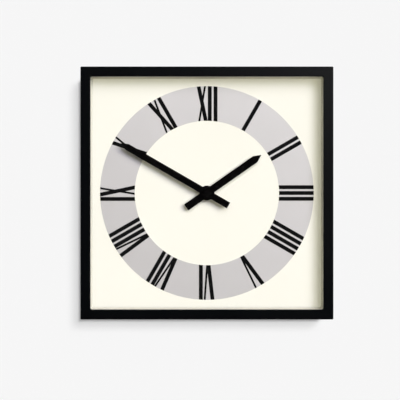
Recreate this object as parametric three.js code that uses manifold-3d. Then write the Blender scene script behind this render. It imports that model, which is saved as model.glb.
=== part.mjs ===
// Square wall clock with a battery movement. Units are millimetres.
// Each piece is drawn in the face frame: x to the viewer's right, y up, z out from the wall.
// The last lines stand that frame up, so that +Z is up and the dial looks along -Y.

import * as THREE from 'three';
import { mergeVertices } from 'three/addons/utils/BufferGeometryUtils.js';
import Module from 'manifold-3d';

const wasm = await Module();
wasm.setup();

// Fits: gaps between resting faces, loose fits and pivots, and how far joined solids overlap
const seatGap = 0.2;
const slideGap = 0.3;
const pivotGap = 0.12;
const weld = 0.4;

// Case
const caseSide = 300;
const caseDepth = 45;
const faceWidth = 11.7;
const faceThickness = 2.5;
const wallThickness = 2.5;
const caseCornerRadius = 1.2;
const openingCornerRadius = 2;
const edgeChamfer = 0.4;
const glassOverlap = 2.7;
const ribThickness = 1.5;

// Glass, liner, dial and board
const glassThickness = 2;
const linerDepth = 11.9;
const dialThickness = 1;
const boardThickness = 3;
const printRelief = 0.12;
const ringSides = 96;

// Dial print
const ringInnerRadius = 87.3;
const ringOuterRadius = 129.2;
const wideStroke = 4.4;
const thinStroke = 1.9;
const barPitch = 7;

// Board screws
const screwsPerSide = 2;
const screwSpacing = 150;
const screwHeadRadius = 2.5;
const screwHeadHeight = 1.8;
const screwShankRadius = 1.2;
const screwLength = 12;
const screwHoleRadius = 1.4;
const bossRadius = 2.8;
const bossWeb = 2;
const bossToRib = 0.1;
const crossWidth = 0.7;
const crossLength = 3;
const crossDepth = 0.9;

// Hanger
const hangerWidth = 44;
const hangerHeight = 21;
const hangerThickness = 1.5;
const hangerRecess = 3;
const hangerCornerRadius = 2;
const hangerMargin = 2;
const keyholeRadius = 5;
const keyslotWidth = 5;
const keyslotLength = 10;
const hangerDrop = 13.5;
const hangerScrewSpacing = 32;
const hangerScrewLength = 7;
const hangerBossRadius = 3;
const shelfThickness = 3;
const shelfMargin = 4;
const headRoomWidth = 15;
const gussetDepth = 14;
const gussetThickness = 2;

// Hands
const hourAngle = 55;
const minuteAngle = 300;
const handThickness = 0.6;
const hourHand = { width: 8.66, shoulder: 70.6, tip: 79.4, tail: 30.3, hub: 8.9 };
const minuteHand = { width: 7.8, shoulder: 110.75, tip: 119.5, tail: 29.9, hub: 8.4 };
const hourHandHeight = 4.7;
const minuteHandHeight = 7.1;
const collarHeight = 0.7;
const collarWall = 1;
const capRadius = 5.55;
const capRim = 1.1;
const capDome = 1.1;

// Movement housing
const movementSide = 56;
const movementDepth = 16.1;
const shellThickness = 1.2;
const frontShellThickness = 1.5;
const shellCornerRadius = 2;
const gasketThickness = 0.8;
const gasketRadius = 12;
const bushRadius = 4;
const bushBore = 2.8;
const washerRadius = 6.5;
const washerThickness = 0.5;
const nutAcrossFlats = 11;
const nutHeight = 2.2;
const bushProud = 0.5;
const postRadius = 1.6;
const postInset = 0.6;
const coilPostShift = 13;
const pivotBossWall = 1;
const locatorWidth = 1;
const locatorHeight = 0.5;

// Battery, size AA
const batteryLength = 49.5;
const batteryRadius = 7.2;
const nubLength = 1;
const nubRadius = 2.7;
const cellEdge = 0.4;
const contactThickness = 0.4;
const contactWidth = 2.6;
const contactPad = 8;
const springTravel = 1.3;
const springBaseRadius = 3;
const springTipRadius = 1.8;

// Gears: module is pitch diameter over teeth, and tooth heights and widths are shares of it
const mostPinionTeeth = 12;
const addendum = 0.75;
const pinionTooth = { dedendum: 1.15, rootWidth: 0.8, tipWidth: 0.5 };
const wheelTooth = { dedendum: 1.05, rootWidth: 1.3, tipWidth: 0.55 };
const motionModule = 0.5;
const trainModule = 0.25;
const secondsModule = 0.45;
const wheelThickness = 1;
const cannonTeeth = 10;
const minuteWheelTeeth = 30;
const minutePinionTeeth = 8;
const hourWheelTeeth = 32;
const centreTeeth = 64;
const thirdPinionTeeth = 8;
const thirdTeeth = 60;
const secondsPinionTeeth = 8;
const secondsTeeth = 32;
const intermediatePinionTeeth = 8;
const intermediateTeeth = 60;
const rotorPinionTeeth = 8;
const toothGap = 0.16;
const levelGap = 0.6;
const pinionOverlap = 0.3;

// Arbors
const arborRadius = 0.4;
const pivotReach = 0.8;
const minuteArborRadius = 1.6;
const minuteArborBore = 0.75;
const secondsSocketDepth = 3;
const hourTubeRadius = 2.5;
const hourTubeBore = 1.95;
const hourShoulderWall = 1.2;
const clutchWall = 0.8;
const threadRadius = 1.25;
const threadLength = 1.4;
const knobShaftRadius = 1.5;
const knobRadius = 6.3;
const knobHeight = 3;
const knobFlutes = 18;
const fluteDepth = 0.3;
const dishRadius = 3.8;
const dishDepth = 0.6;
const knobStandoff = 0.3;
const knobSpigotRadius = 0.8;
const knobSpigotGrip = 0.8;

// Motor
const rotorShaftRadius = 0.4;
const magnetRadius = 2.6;
const magnetLength = 3;
const airGap = 0.4;
const statorThickness = 0.9;
const statorLobe = 5.2;
const statorArm = 3;
const statorArmShift = 1.5;
const coreMargin = 0.5;
const coilRadius = 3.3;
const coilLength = 11.6;
const coilMargin = 1.5;
const coilRise = 7.6;
const coilWindow = 1.2;
const bobbinFlange = 1;
const bobbinFlangeHeight = 0.5;
const bobbinBarrel = 1.9;
const bobbinBore = 1.35;
const coreWidth = 2;
const coreThickness = 0.9;

// Electronics
const circuitWidth = 18.5;
const circuitHeight = 10.5;
const circuitThickness = 1;
const circuitMargin = 0.8;
const circuitStandoff = 1.7;
const restInset = 2.5;
const crystalRadius = 1;
const crystalLength = 6;
const crystalFromEdge = 4;
const chipRadius = 2.4;
const chipHeight = 0.8;
const chipFromEdge = 4.07;
const contactFromEdge = 1.6;
const contactOnBoard = 3;

// Levels above the wall, front to back
const faceBack = caseDepth - faceThickness;
const glassFront = faceBack - seatGap;
const glassBack = glassFront - glassThickness;
const linerFront = glassBack - seatGap;
const linerBack = linerFront - linerDepth;
const dialFront = linerBack - seatGap;
const dialBack = dialFront - dialThickness;
const boardFront = dialBack - seatGap;
const boardBack = boardFront - boardThickness;
const gasketFront = boardBack - seatGap;
const gasketBack = gasketFront - gasketThickness;
const movementFront = gasketBack - seatGap;
const movementBack = movementFront - movementDepth;
const shellFront = movementFront - frontShellThickness;
const coverFront = movementBack + shellThickness;
const coverSeat = coverFront + seatGap;
const shelfBack = hangerRecess + hangerThickness + seatGap;
const shelfFront = shelfBack + shelfThickness;

// Levels in front of the dial
const washerBack = dialFront + seatGap;
const nutBack = washerBack + washerThickness + seatGap;
const nutFront = nutBack + nutHeight;
const bushFront = nutFront + bushProud;
const hourHandBack = dialFront + hourHandHeight;
const minuteHandBack = dialFront + minuteHandHeight;
const hourTubeFront = hourHandBack + handThickness + weld;
const minuteArborFront = minuteHandBack + handThickness + seatGap;
const capBack = minuteHandBack + handThickness + seatGap;

// Levels of the wheels, back to front
const intermediateBack = coverFront + levelGap;
const secondsBack = intermediateBack + wheelThickness + levelGap;
const statorBack = secondsBack + wheelThickness + seatGap;
const thirdBack = statorBack + statorThickness + slideGap;
const midPlateBack = thirdBack + wheelThickness + slideGap;
const midPlateFront = midPlateBack + wheelThickness;
const centreBack = midPlateFront + slideGap;
const minuteWheelBack = centreBack + wheelThickness + levelGap;
const hourWheelBack = minuteWheelBack + wheelThickness + levelGap;

// Outlines shared by neighbours
const caseHalf = caseSide / 2;
const cavityHalf = caseHalf - wallThickness;
const openingHalf = caseHalf - faceWidth;
const glassHalf = openingHalf + glassOverlap;
const pocketHalf = glassHalf + slideGap;
const boardHalf = cavityHalf - slideGap;
const screwLine = pocketHalf + bossRadius + bossToRib;
const hangHeight = caseHalf - hangerDrop;
const hangerBottom = hangHeight - keyslotLength - keyholeRadius - hangerMargin;
const shelfBottom = hangerBottom - shelfMargin;
const shelfHalf = hangerWidth / 2 + shelfMargin;

// Arbor places, seen from the front
const motionCentres = motionModule * ( cannonTeeth + minuteWheelTeeth ) / 2;
const hourModule = 2 * motionCentres / ( minutePinionTeeth + hourWheelTeeth );
const thirdCentres = trainModule * ( thirdPinionTeeth + centreTeeth ) / 2;
const thirdModule = 2 * thirdCentres / ( secondsPinionTeeth + thirdTeeth );
const secondsCentres = secondsModule * ( intermediatePinionTeeth + secondsTeeth ) / 2;
const rotorCentres = trainModule * ( rotorPinionTeeth + intermediateTeeth ) / 2;
const knobAngle = 143;
const thirdAngle = 10;
const intermediateAngle = 80;
const rotorAngle = 65;
const centrePlace = new THREE.Vector2();
const knobPlace = fromAngle( centrePlace, motionCentres, knobAngle );
const thirdPlace = fromAngle( centrePlace, thirdCentres, thirdAngle );
const intermediatePlace = fromAngle( centrePlace, secondsCentres, intermediateAngle );
const rotorPlace = fromAngle( intermediatePlace, rotorCentres, rotorAngle );

// Inside of the movement housing
const shellHalf = movementSide / 2;
const bayHalf = shellHalf - shellThickness;
const batteryY = - bayHalf + batteryRadius + slideGap + seatGap;
const partitionBottom = batteryY + batteryRadius + slideGap + seatGap;
const partitionTop = partitionBottom + shellThickness;
const batteryLevel = shellFront - slideGap - batteryRadius;
const pivotRear = coverFront - pivotReach + seatGap;
const pivotFront = shellFront + pivotReach - seatGap;
const shaftFront = minuteWheelBack - seatGap;
const spigotFront = hourWheelBack + knobSpigotGrip;
const magnetBack = statorBack + statorThickness / 2 - magnetLength / 2;
const coreX = bayHalf - coilRadius - coilMargin;
const coilY = ( partitionTop + shellHalf ) / 2 + coilRise;
const coreLevel = statorBack + statorThickness + seatGap;
const coreHalf = coilLength / 2 + bobbinFlange + statorArm;
const statorReach = coreX + coreWidth / 2 + coreMargin;
const circuitBack = coverFront + circuitStandoff;
const circuitFront = circuitBack + circuitThickness;
const circuitLeft = - bayHalf + circuitMargin;
const circuitTop = bayHalf - circuitMargin;
const circuitRight = circuitLeft + circuitWidth;
const circuitBottom = circuitTop - circuitHeight;
const contactBack = circuitFront + seatGap;
const contactFace = bayHalf - seatGap - contactThickness;
const contactTop = circuitBottom + contactOnBoard;

function fromAngle( start, distance, degrees ) {

	const angle = THREE.MathUtils.degToRad( degrees );
	return new THREE.Vector2( distance, 0 ).rotateAround( centrePlace, angle ).add( start );

}

// Solids

function toSolid( geometry ) {

	geometry.deleteAttribute( 'normal' );
	geometry.deleteAttribute( 'uv' );
	const merged = mergeVertices( geometry );
	const corners = merged.index.array;
	const kept = [];

	for ( let i = 0; i < corners.length; i += 3 ) {

		const [ a, b, c ] = [ corners[ i ], corners[ i + 1 ], corners[ i + 2 ] ];
		if ( a !== b && b !== c && c !== a ) kept.push( a, b, c );

	}

	return new wasm.Manifold( new wasm.Mesh( {
		numProp: 3,
		vertProperties: merged.attributes.position.array,
		triVerts: new Uint32Array( kept ),
	} ) );

}

function toGeometry( solid ) {

	const mesh = solid.getMesh();
	const geometry = new THREE.BufferGeometry();
	geometry.setAttribute( 'position', new THREE.BufferAttribute( mesh.vertProperties, 3 ) );
	geometry.setIndex( new THREE.BufferAttribute( mesh.triVerts, 1 ) );
	return geometry;

}

function block( x0, x1, y0, y1, z0, z1 ) {

	const box = new THREE.BoxGeometry( x1 - x0, y1 - y0, z1 - z0 );
	return toSolid( box.translate( ( x0 + x1 ) / 2, ( y0 + y1 ) / 2, ( z0 + z1 ) / 2 ) );

}

function rod( radius, back, front, place = centrePlace, sides = 20 ) {

	const cylinder = new THREE.CylinderGeometry( radius, radius, front - back, sides );
	cylinder.rotateX( Math.PI / 2 );
	return toSolid( cylinder.translate( place.x, place.y, ( back + front ) / 2 ) );

}

// Every arc of the outline is drawn with the given number of sides.
function slab( shape, back, front, arcSides = 4 ) {

	const settings = { depth: front - back, bevelEnabled: false, curveSegments: arcSides / 2 };
	return toSolid( new THREE.ExtrudeGeometry( shape, settings ).translate( 0, 0, back ) );

}

function turned( profile, sides = 20 ) {

	const points = profile.map( ( [ radius, height ] ) => new THREE.Vector2( radius, height ) );
	const lathe = new THREE.LatheGeometry( points, sides );
	lathe.rotateX( Math.PI / 2 );
	return toSolid( lathe );

}

function sorted( a, b ) {

	return a < b ? [ a, b ] : [ b, a ];

}

function unite( solids ) {

	return solids.reduce( ( whole, piece ) => whole.add( piece ) );

}

function cut( solid, tools ) {

	return tools.reduce( ( rest, tool ) => rest.subtract( tool ), solid );

}

// Outlines

function roundedRectangle( halfWidth, halfHeight, radius, outline = new THREE.Shape() ) {

	const [ x, y ] = [ halfWidth - radius, halfHeight - radius ];
	outline.absarc( x, y, radius, 0, Math.PI / 2 );
	outline.absarc( - x, y, radius, Math.PI / 2, Math.PI );
	outline.absarc( - x, - y, radius, Math.PI, Math.PI * 1.5 );
	outline.absarc( x, - y, radius, Math.PI * 1.5, Math.PI * 2 );
	outline.closePath();
	return outline;

}

function squareRing( outerHalf, outerRadius, innerHalf, innerRadius ) {

	const shape = roundedRectangle( outerHalf, outerHalf, outerRadius );
	shape.holes.push( roundedRectangle( innerHalf, innerHalf, innerRadius, new THREE.Path() ) );
	return shape;

}

function roundRing( outerRadius, innerRadius ) {

	const shape = new THREE.Shape();
	shape.absarc( 0, 0, outerRadius, 0, Math.PI * 2 );
	const hole = new THREE.Path();
	hole.absarc( 0, 0, innerRadius, 0, Math.PI * 2, true );
	shape.holes.push( hole );
	return shape;

}

// A tooth narrows from root to tip. A pinion has radial flanks inside its pitch circle.
function gearOutline( teeth, module, firstTooth ) {

	const isPinion = teeth <= mostPinionTeeth;
	const form = isPinion ? pinionTooth : wheelTooth;
	const pitchRadius = module * teeth / 2;
	const tip = [ pitchRadius + addendum * module, form.tipWidth ];
	const halfTooth = Math.PI / teeth / 2 * ( 1 - toothGap );
	const flank = isPinion
		? [ [ pitchRadius - form.dedendum * module, form.rootWidth ], [ pitchRadius, 1 ], tip ]
		: [ [ pitchRadius - form.dedendum * module, form.rootWidth ], tip ];
	const steps = [ ...flank.map( ( [ r, w ] ) => [ r, - w ] ), ...flank.toReversed() ];
	const shape = new THREE.Shape();

	for ( let tooth = 0; tooth < teeth; tooth ++ ) {

		const middle = firstTooth + tooth * 2 * Math.PI / teeth;

		for ( const [ radius, width ] of steps ) {

			const angle = middle + width * halfTooth;
			const point = [ radius * Math.cos( angle ), radius * Math.sin( angle ) ];
			if ( shape.curves.length || shape.currentPoint.lengthSq() ) shape.lineTo( ...point );
			else shape.moveTo( ...point );

		}

	}

	shape.closePath();
	return shape;

}

// The driver has a tooth on the line of centres and the driven gear has a gap there.
function gearFacing( teeth, module, degrees, back, front, isDriven ) {

	const towards = THREE.MathUtils.degToRad( degrees );
	const firstTooth = isDriven ? towards + Math.PI / teeth : towards;
	return slab( gearOutline( teeth, module, firstTooth ), back, front );

}

// Finishes

function finish( color, roughness, metalness = 0 ) {

	return new THREE.MeshStandardMaterial( { color, roughness, metalness } );

}

function piece( name, solid, material ) {

	const mesh = new THREE.Mesh( toGeometry( solid ), material );
	mesh.name = name;
	return mesh;

}

function placed( mesh, place, clockwiseDegrees = 0 ) {

	mesh.position.set( place.x, place.y, 0 );
	mesh.rotation.z = - THREE.MathUtils.degToRad( clockwiseDegrees );
	return mesh;

}

// Each side of the case has its screws evenly about the middle, as quarter turns of the top side.
function boardScrewPlaces() {

	return [ 0, 1, 2, 3 ].flatMap( ( side ) => screwStations().map( ( along ) =>
		new THREE.Vector2( along, screwLine ).rotateAround( centrePlace, side * Math.PI / 2 ) ) );

}

function screwStations() {

	const middle = ( screwsPerSide - 1 ) / 2;
	return Array.from( { length: screwsPerSide }, ( _, i ) => ( i - middle ) * screwSpacing );

}

function hangerScrewPlaces() {

	const height = hangHeight - keyslotLength / 2;
	return [ - 1, 1 ].map( ( side ) => new THREE.Vector2( side * hangerScrewSpacing / 2, height ) );

}

function screwBody( seat, length ) {

	const head = rod( screwHeadRadius, seat - screwHeadHeight, seat, centrePlace, 8 );
	const shank = rod( screwShankRadius, seat - weld, seat + length, centrePlace, 8 );
	const slotFloor = seat - screwHeadHeight + crossDepth;
	const [ halfWidth, halfLength ] = [ crossWidth / 2, crossLength / 2 ];
	const slotBack = seat - screwHeadHeight - weld;
	return cut( head.add( shank ), [
		block( - halfWidth, halfWidth, - halfLength, halfLength, slotBack, slotFloor ),
		block( - halfLength, halfLength, - halfWidth, halfWidth, slotBack, slotFloor ),
	] );

}

// Case: a front face, side walls back to the wall, a rib round the glass, screw bosses and a shelf

function makeCaseFrame() {

	const outline = roundedRectangle( caseHalf, caseHalf, caseCornerRadius );
	const bevel = {
		depth: caseDepth,
		curveSegments: 2,
		bevelSegments: 1,
		bevelSize: edgeChamfer,
		bevelThickness: edgeChamfer,
		bevelOffset: - edgeChamfer,
	};
	const outer = toSolid( new THREE.ExtrudeGeometry( outline, bevel ).translate( 0, 0, - edgeChamfer ) );
	const rearBevel = block( - caseSide, caseSide, - caseSide, caseSide, - caseDepth, 0 );
	const cavity = slab( roundedRectangle( cavityHalf, cavityHalf, caseCornerRadius ), - weld, faceBack );
	const opening = roundedRectangle( openingHalf, openingHalf, openingCornerRadius );
	const shell = cut( outer, [ rearBevel, cavity, slab( opening, faceBack - weld, caseDepth + weld ) ] );
	const ribOutline = squareRing(
		pocketHalf + ribThickness, openingCornerRadius + ribThickness,
		pocketHalf, openingCornerRadius,
	);
	const rib = slab( ribOutline, dialBack, faceBack + weld );
	const pilots = boardScrewPlaces().map( ( place ) => rod(
		screwHoleRadius, dialBack - weld, dialBack + screwLength, place, 8,
	) );
	return cut( unite( [ shell, rib, ...screwBosses(), ...makeShelf() ] ), [ ...pilots, ...shelfCuts() ] );

}

// Each screw boss is joined to its side wall by a web.
function screwBosses() {

	const [ back, front ] = [ dialBack, faceBack + weld ];
	const half = bossWeb / 2;
	const bosses = screwStations().map( ( along ) => {

		const boss = rod( bossRadius, back, front, new THREE.Vector2( along, screwLine ), 12 );
		return boss.add( block( along - half, along + half, screwLine, cavityHalf + weld, back, front ) );

	} );
	return [ 0, 90, 180, 270 ].flatMap( ( turn ) => bosses.map( ( boss ) => boss.rotate( [ 0, 0, turn ] ) ) );

}

// The shelf under the top wall carries the steel hanger.
function makeShelf() {

	const top = cavityHalf + weld;
	const shelf = block( - shelfHalf, shelfHalf, shelfBottom, top, shelfBack, shelfFront );
	const bosses = hangerScrewPlaces().map( ( place ) => rod(
		hangerBossRadius, shelfBack, shelfBack + hangerScrewLength, place, 8,
	) );
	const gussets = [ - 1, 1 ].map( ( side ) => {

		const [ x0, x1 ] = sorted( side * shelfHalf, side * ( shelfHalf - gussetThickness ) );
		return block( x0, x1, hangHeight - keyslotLength, top, shelfBack, shelfFront + gussetDepth );

	} );
	return [ shelf, ...bosses, ...gussets ];

}

function shelfCuts() {

	const halfRoom = headRoomWidth / 2;
	const headRoom = block(
		- halfRoom, halfRoom, hangerBottom, hangHeight + keyholeRadius,
		shelfBack - weld, shelfFront + weld,
	);
	const pilots = hangerScrewPlaces().map( ( place ) => rod(
		screwHoleRadius, shelfBack - weld, shelfBack + hangerScrewLength + weld, place, 8,
	) );
	return [ headRoom, ...pilots ];

}

function makeHangerPlate() {

	const [ back, front ] = [ hangerRecess, hangerRecess + hangerThickness ];
	const middle = hangerBottom + hangerHeight / 2;
	const outline = roundedRectangle( hangerWidth / 2, hangerHeight / 2, hangerCornerRadius );
	const plate = slab( outline, back, front ).translate( 0, middle, 0 );
	const headPlace = new THREE.Vector2( 0, hangHeight - keyslotLength );
	const slotEnd = new THREE.Vector2( 0, hangHeight );
	const halfSlot = keyslotWidth / 2;
	const screwHoles = hangerScrewPlaces().map( ( place ) => rod(
		screwHoleRadius, back - weld, front + weld, place, 8,
	) );
	return cut( plate, [
		rod( keyholeRadius, back - weld, front + weld, headPlace, 24 ),
		rod( halfSlot, back - weld, front + weld, slotEnd, 16 ),
		block( - halfSlot, halfSlot, headPlace.y, slotEnd.y, back - weld, front + weld ),
		...screwHoles,
	] );

}

function makeLiner() {

	const cornerRadius = openingCornerRadius;
	return slab( squareRing( glassHalf, cornerRadius, openingHalf, cornerRadius ), linerBack, linerFront );

}

function makeGlass() {

	return slab( roundedRectangle( glassHalf, glassHalf, openingCornerRadius ), glassBack, glassFront );

}

function makeBoard() {

	const sheet = slab( roundedRectangle( boardHalf, boardHalf, caseCornerRadius ), boardBack, boardFront );
	const through = [ boardBack - weld, boardFront + weld ];
	return cut( sheet, [
		rod( bushRadius + slideGap, ...through ),
		...boardScrewPlaces().map( ( place ) => rod( screwHoleRadius + slideGap, ...through, place, 8 ) ),
	] );

}

// Roman numerals: strokes run the whole width of the ring, with their feet to the centre.
// Each glyph has strokes as [ width, place at the ring's inner edge, place at its outer edge ].
const glyphs = {
	I: [ [ wideStroke, 0, 0 ] ],
	V: [ [ wideStroke, 1.1, - 3.65 ], [ thinStroke, 2.9, 5.9 ] ],
	X: [ [ wideStroke, 4.4, - 4.4 ], [ thinStroke, - 3.4, 3.4 ] ],
};

// How far each glyph stands clockwise from its hour's own line
const numerals = [
	[ [ 'I', 0 ] ],
	[ [ 'I', - barPitch / 2 ], [ 'I', barPitch / 2 ] ],
	[ [ 'I', - barPitch ], [ 'I', 0 ], [ 'I', barPitch ] ],
	[ [ 'I', - 1.5 * barPitch ], [ 'I', - barPitch / 2 ], [ 'I', barPitch / 2 ], [ 'I', 1.5 * barPitch ] ],
	[ [ 'V', 0 ] ],
	[ [ 'V', - 3.2 ], [ 'I', 7.3 ] ],
	[ [ 'V', - 7.9 ], [ 'I', 1.8 ], [ 'I', 1.8 + barPitch ] ],
	[ [ 'V', - 9.9 ], [ 'I', - 0.2 ], [ 'I', - 0.2 + barPitch ], [ 'I', - 0.2 + 2 * barPitch ] ],
	[ [ 'I', - 7.2 ], [ 'X', 2.4 ] ],
	[ [ 'X', 0 ] ],
	[ [ 'X', - 2.1 ], [ 'I', 7 ] ],
	[ [ 'X', - 5.7 ], [ 'I', 3.45 ], [ 'I', 3.45 + barPitch ] ],
];

function strokeShape( width, innerPlace, outerPlace, offset ) {

	const slope = ( outerPlace - innerPlace ) / ( ringOuterRadius - ringInnerRadius );
	const [ low, high ] = [ ringInnerRadius - thinStroke, ringOuterRadius + thinStroke ];
	const lowPlace = offset + innerPlace + slope * ( low - ringInnerRadius );
	const highPlace = offset + innerPlace + slope * ( high - ringInnerRadius );
	const half = width / 2;
	return new THREE.Shape( [
		new THREE.Vector2( lowPlace - half, low ),
		new THREE.Vector2( lowPlace + half, low ),
		new THREE.Vector2( highPlace + half, high ),
		new THREE.Vector2( highPlace - half, high ),
	] );

}

function makeDial() {

	const sheet = slab( roundedRectangle( glassHalf, glassHalf, openingCornerRadius ), dialBack, dialFront );
	const ringShape = roundRing( ringOuterRadius, ringInnerRadius );
	const ring = slab( ringShape, dialFront - weld, dialFront + printRelief, ringSides );
	const printBand = slab( ringShape, dialBack, dialFront + weld, ringSides );
	const print = unite( numeralStrokes() ).intersect( printBand );
	const hole = rod( bushRadius + slideGap, dialBack - weld, dialFront + weld );
	return unite( [ sheet, ring, print ] ).subtract( hole );

}

function numeralStrokes() {

	const degreesPerHour = 360 / numerals.length;
	return numerals.flatMap( ( numeral, index ) => numeral.flatMap( ( [ glyph, offset ] ) =>
		glyphs[ glyph ].map( ( [ width, inner, outer ] ) => {

			const shape = strokeShape( width, inner, outer, offset );
			const stroke = slab( shape, dialFront, dialFront + 2 * printRelief );
			return stroke.rotate( [ 0, 0, - degreesPerHour * ( index + 1 ) ] );

		} ) ) );

}

// Hands

function handShape( { width, shoulder, tip, tail } ) {

	const half = width / 2;
	return new THREE.Shape( [
		new THREE.Vector2( - half, - tail ),
		new THREE.Vector2( half, - tail ),
		new THREE.Vector2( half, shoulder ),
		new THREE.Vector2( 0, tip ),
		new THREE.Vector2( - half, shoulder ),
	] );

}

function makeHand( sizes, back, arbor ) {

	const blade = slab( handShape( sizes ), back, back + handThickness );
	const hub = rod( sizes.hub, back, back + handThickness, centrePlace, 32 );
	const collar = rod( arbor + pivotGap + collarWall, back - collarHeight, back + weld );
	const bore = rod( arbor + pivotGap, back - collarHeight - weld, back + handThickness + weld );
	return unite( [ blade, hub, collar ] ).subtract( bore );

}

function makeCap() {

	const rim = capBack + capRim;
	const domePoints = [ 0, 22.5, 45, 67.5 ].map( ( degrees ) => {

		const angle = THREE.MathUtils.degToRad( degrees );
		return [ capRadius * Math.cos( angle ), rim + capDome * Math.sin( angle ) ];

	} );
	const cap = turned( [ [ 0, capBack ], [ capRadius, capBack ], ...domePoints, [ 0, rim + capDome ] ], 24 );
	const boreFront = minuteArborFront + threadLength + seatGap;
	return cap.subtract( rod( threadRadius + pivotGap, capBack - weld, boreFront, centrePlace, 10 ) );

}

// Fixings on the bush: a gasket behind the board, and a washer and nut in front of the dial

function makeGasket() {

	return slab( roundRing( gasketRadius, bushRadius + seatGap ), gasketBack, gasketFront, 24 );

}

function makeWasher() {

	const ring = roundRing( washerRadius, bushRadius + seatGap );
	return slab( ring, washerBack, washerBack + washerThickness, 24 );

}

function makeNut() {

	const hexagon = rod( nutAcrossFlats / Math.sqrt( 3 ), nutBack, nutFront, centrePlace, 6 );
	return hexagon.subtract( rod( bushRadius + seatGap, nutBack - weld, nutFront + weld ) );

}

// Movement housing: a shell open at the back, with the threaded bush and a bay for the battery

function makeHousing() {

	const outline = roundedRectangle( shellHalf, shellHalf, shellCornerRadius );
	const outer = slab( outline, movementBack, movementFront );
	const behind = movementBack - weld;
	const beyond = shellHalf + weld;
	const coverBed = block( - beyond, beyond, partitionBottom - seatGap, beyond, behind, coverSeat );
	const gearBay = block( - bayHalf, bayHalf, partitionTop, bayHalf, behind, shellFront );
	const batteryBay = block( - bayHalf, bayHalf, - bayHalf, partitionBottom, behind, shellFront );
	const bush = rod( bushRadius, movementFront - weld, bushFront );
	const posts = midPlatePosts().map( ( place ) => rod(
		postRadius, midPlateFront + seatGap, shellFront + weld, place, 8,
	) );
	const pivotBosses = [ thirdPlace, knobPlace ].map( ( place ) => rod(
		arborRadius + pivotBossWall, shellFront - pivotReach, shellFront + weld, place, 10,
	) );
	const pivots = [ thirdPlace, knobPlace ].map( ( place ) => rod(
		arborRadius + pivotGap, shellFront - pivotReach - weld, shellFront + pivotReach, place, 8,
	) );
	const shell = cut( outer, [ coverBed, gearBay, batteryBay ] );
	const notches = [ - 1, 1 ].map( ( side ) => contactNotch( side ) );
	return cut(
		unite( [ shell, bush, ...posts, ...pivotBosses ] ),
		[ rod( bushBore, shellFront - weld, bushFront + weld ), ...pivots, ...notches ],
	);

}

// The contact strips pass from the battery bay into the gear bay through these notches.
function contactNotch( side ) {

	const [ x0, x1 ] = sorted( side * bayHalf, side * ( contactFace - 2 * seatGap ) );
	const [ y0, y1 ] = [ partitionBottom - weld, partitionTop + weld ];
	return block( x0, x1, y0, y1, contactBack - seatGap, contactBack + contactWidth + seatGap );

}

// The fourth post stands clear of the coil.
function midPlatePosts() {

	const inset = postRadius + postInset;
	const [ x, low, high ] = [ bayHalf - inset, partitionTop + inset, bayHalf - inset ];
	const corners = [ [ - x, low ], [ x, low ], [ - x, high ], [ x - coilPostShift, high ] ];
	return corners.map( ( corner ) => new THREE.Vector2( ...corner ) );

}

function makeCover() {

	const halfHeight = ( shellHalf - partitionBottom ) / 2;
	const outline = roundedRectangle( shellHalf, halfHeight, shellCornerRadius );
	const sheet = slab( outline, movementBack, coverFront ).translate( 0, shellHalf - halfHeight, 0 );
	const pivotPlaces = [ centrePlace, thirdPlace, intermediatePlace, rotorPlace ];
	const bosses = pivotPlaces.map( ( place ) => rod(
		arborRadius + pivotBossWall, coverFront - weld, coverFront + seatGap, place, 10,
	) );
	const pivots = pivotPlaces.map( ( place ) => rod(
		arborRadius + pivotGap, coverFront - pivotReach, coverFront + seatGap + weld, place, 8,
	) );
	const circuitPosts = circuitRests().map( ( place ) => rod(
		postRadius, coverFront - weld, circuitBack - seatGap, place, 8,
	) );
	const statorPosts = statorRests().map( ( place ) => rod(
		statorArm / 2, coverFront - weld, statorBack - seatGap, place, 8,
	) );
	const shaftHole = rod( knobShaftRadius + slideGap, movementBack - weld, coverFront + weld, knobPlace );
	return cut(
		unite( [ sheet, makeLocator(), ...bosses, ...circuitPosts, ...statorPosts ] ),
		[ ...pivots, shaftHole ],
	);

}

// A raised lip on the cover locates it inside the gear bay.
function makeLocator() {

	const half = bayHalf - slideGap;
	const bottom = partitionTop + slideGap;
	const inner = half - locatorWidth;
	const [ back, front ] = [ coverFront - weld, coverSeat + locatorHeight ];
	return block( - half, half, bottom, half, back, front ).subtract(
		block( - inner, inner, bottom + locatorWidth, inner, back - weld, front + weld ),
	);

}

function statorRests() {

	const x = statorReach - statorArm / 2;
	const low = coilY - coreHalf + statorArm / 2;
	const high = coilY + coreHalf - statorArm / 2;
	return [ low, high ].map( ( y ) => new THREE.Vector2( x, y ) );

}

function makeMidPlate() {

	const reach = bayHalf - slideGap;
	const sheet = block( - reach, reach, partitionTop + slideGap, reach, midPlateBack, midPlateFront );
	const [ back, front ] = [ midPlateBack - weld, midPlateFront + weld ];
	const windowLeft = coreX - coilRadius - coilWindow;
	const halfWindow = coilLength / 2 + bobbinFlange + coilWindow;
	return cut( sheet, [
		rod( arborRadius + pivotGap, back, front, centrePlace, 8 ),
		rod( pinionTip( thirdPinionTeeth, trainModule ) + slideGap, back, front, thirdPlace ),
		rod( arborRadius + pivotGap, back, front, intermediatePlace, 8 ),
		rod( rotorShaftRadius + pivotGap, back, front, rotorPlace, 8 ),
		rod( knobShaftRadius + slideGap, back, front, knobPlace ),
		block( windowLeft, bayHalf, coilY - halfWindow, coilY + halfWindow, back, front ),
	] );

}

function pinionTip( teeth, module ) {

	return module * ( teeth / 2 + addendum );

}

// Motion work: turns the hour hand once for twelve turns of the minute hand

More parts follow.
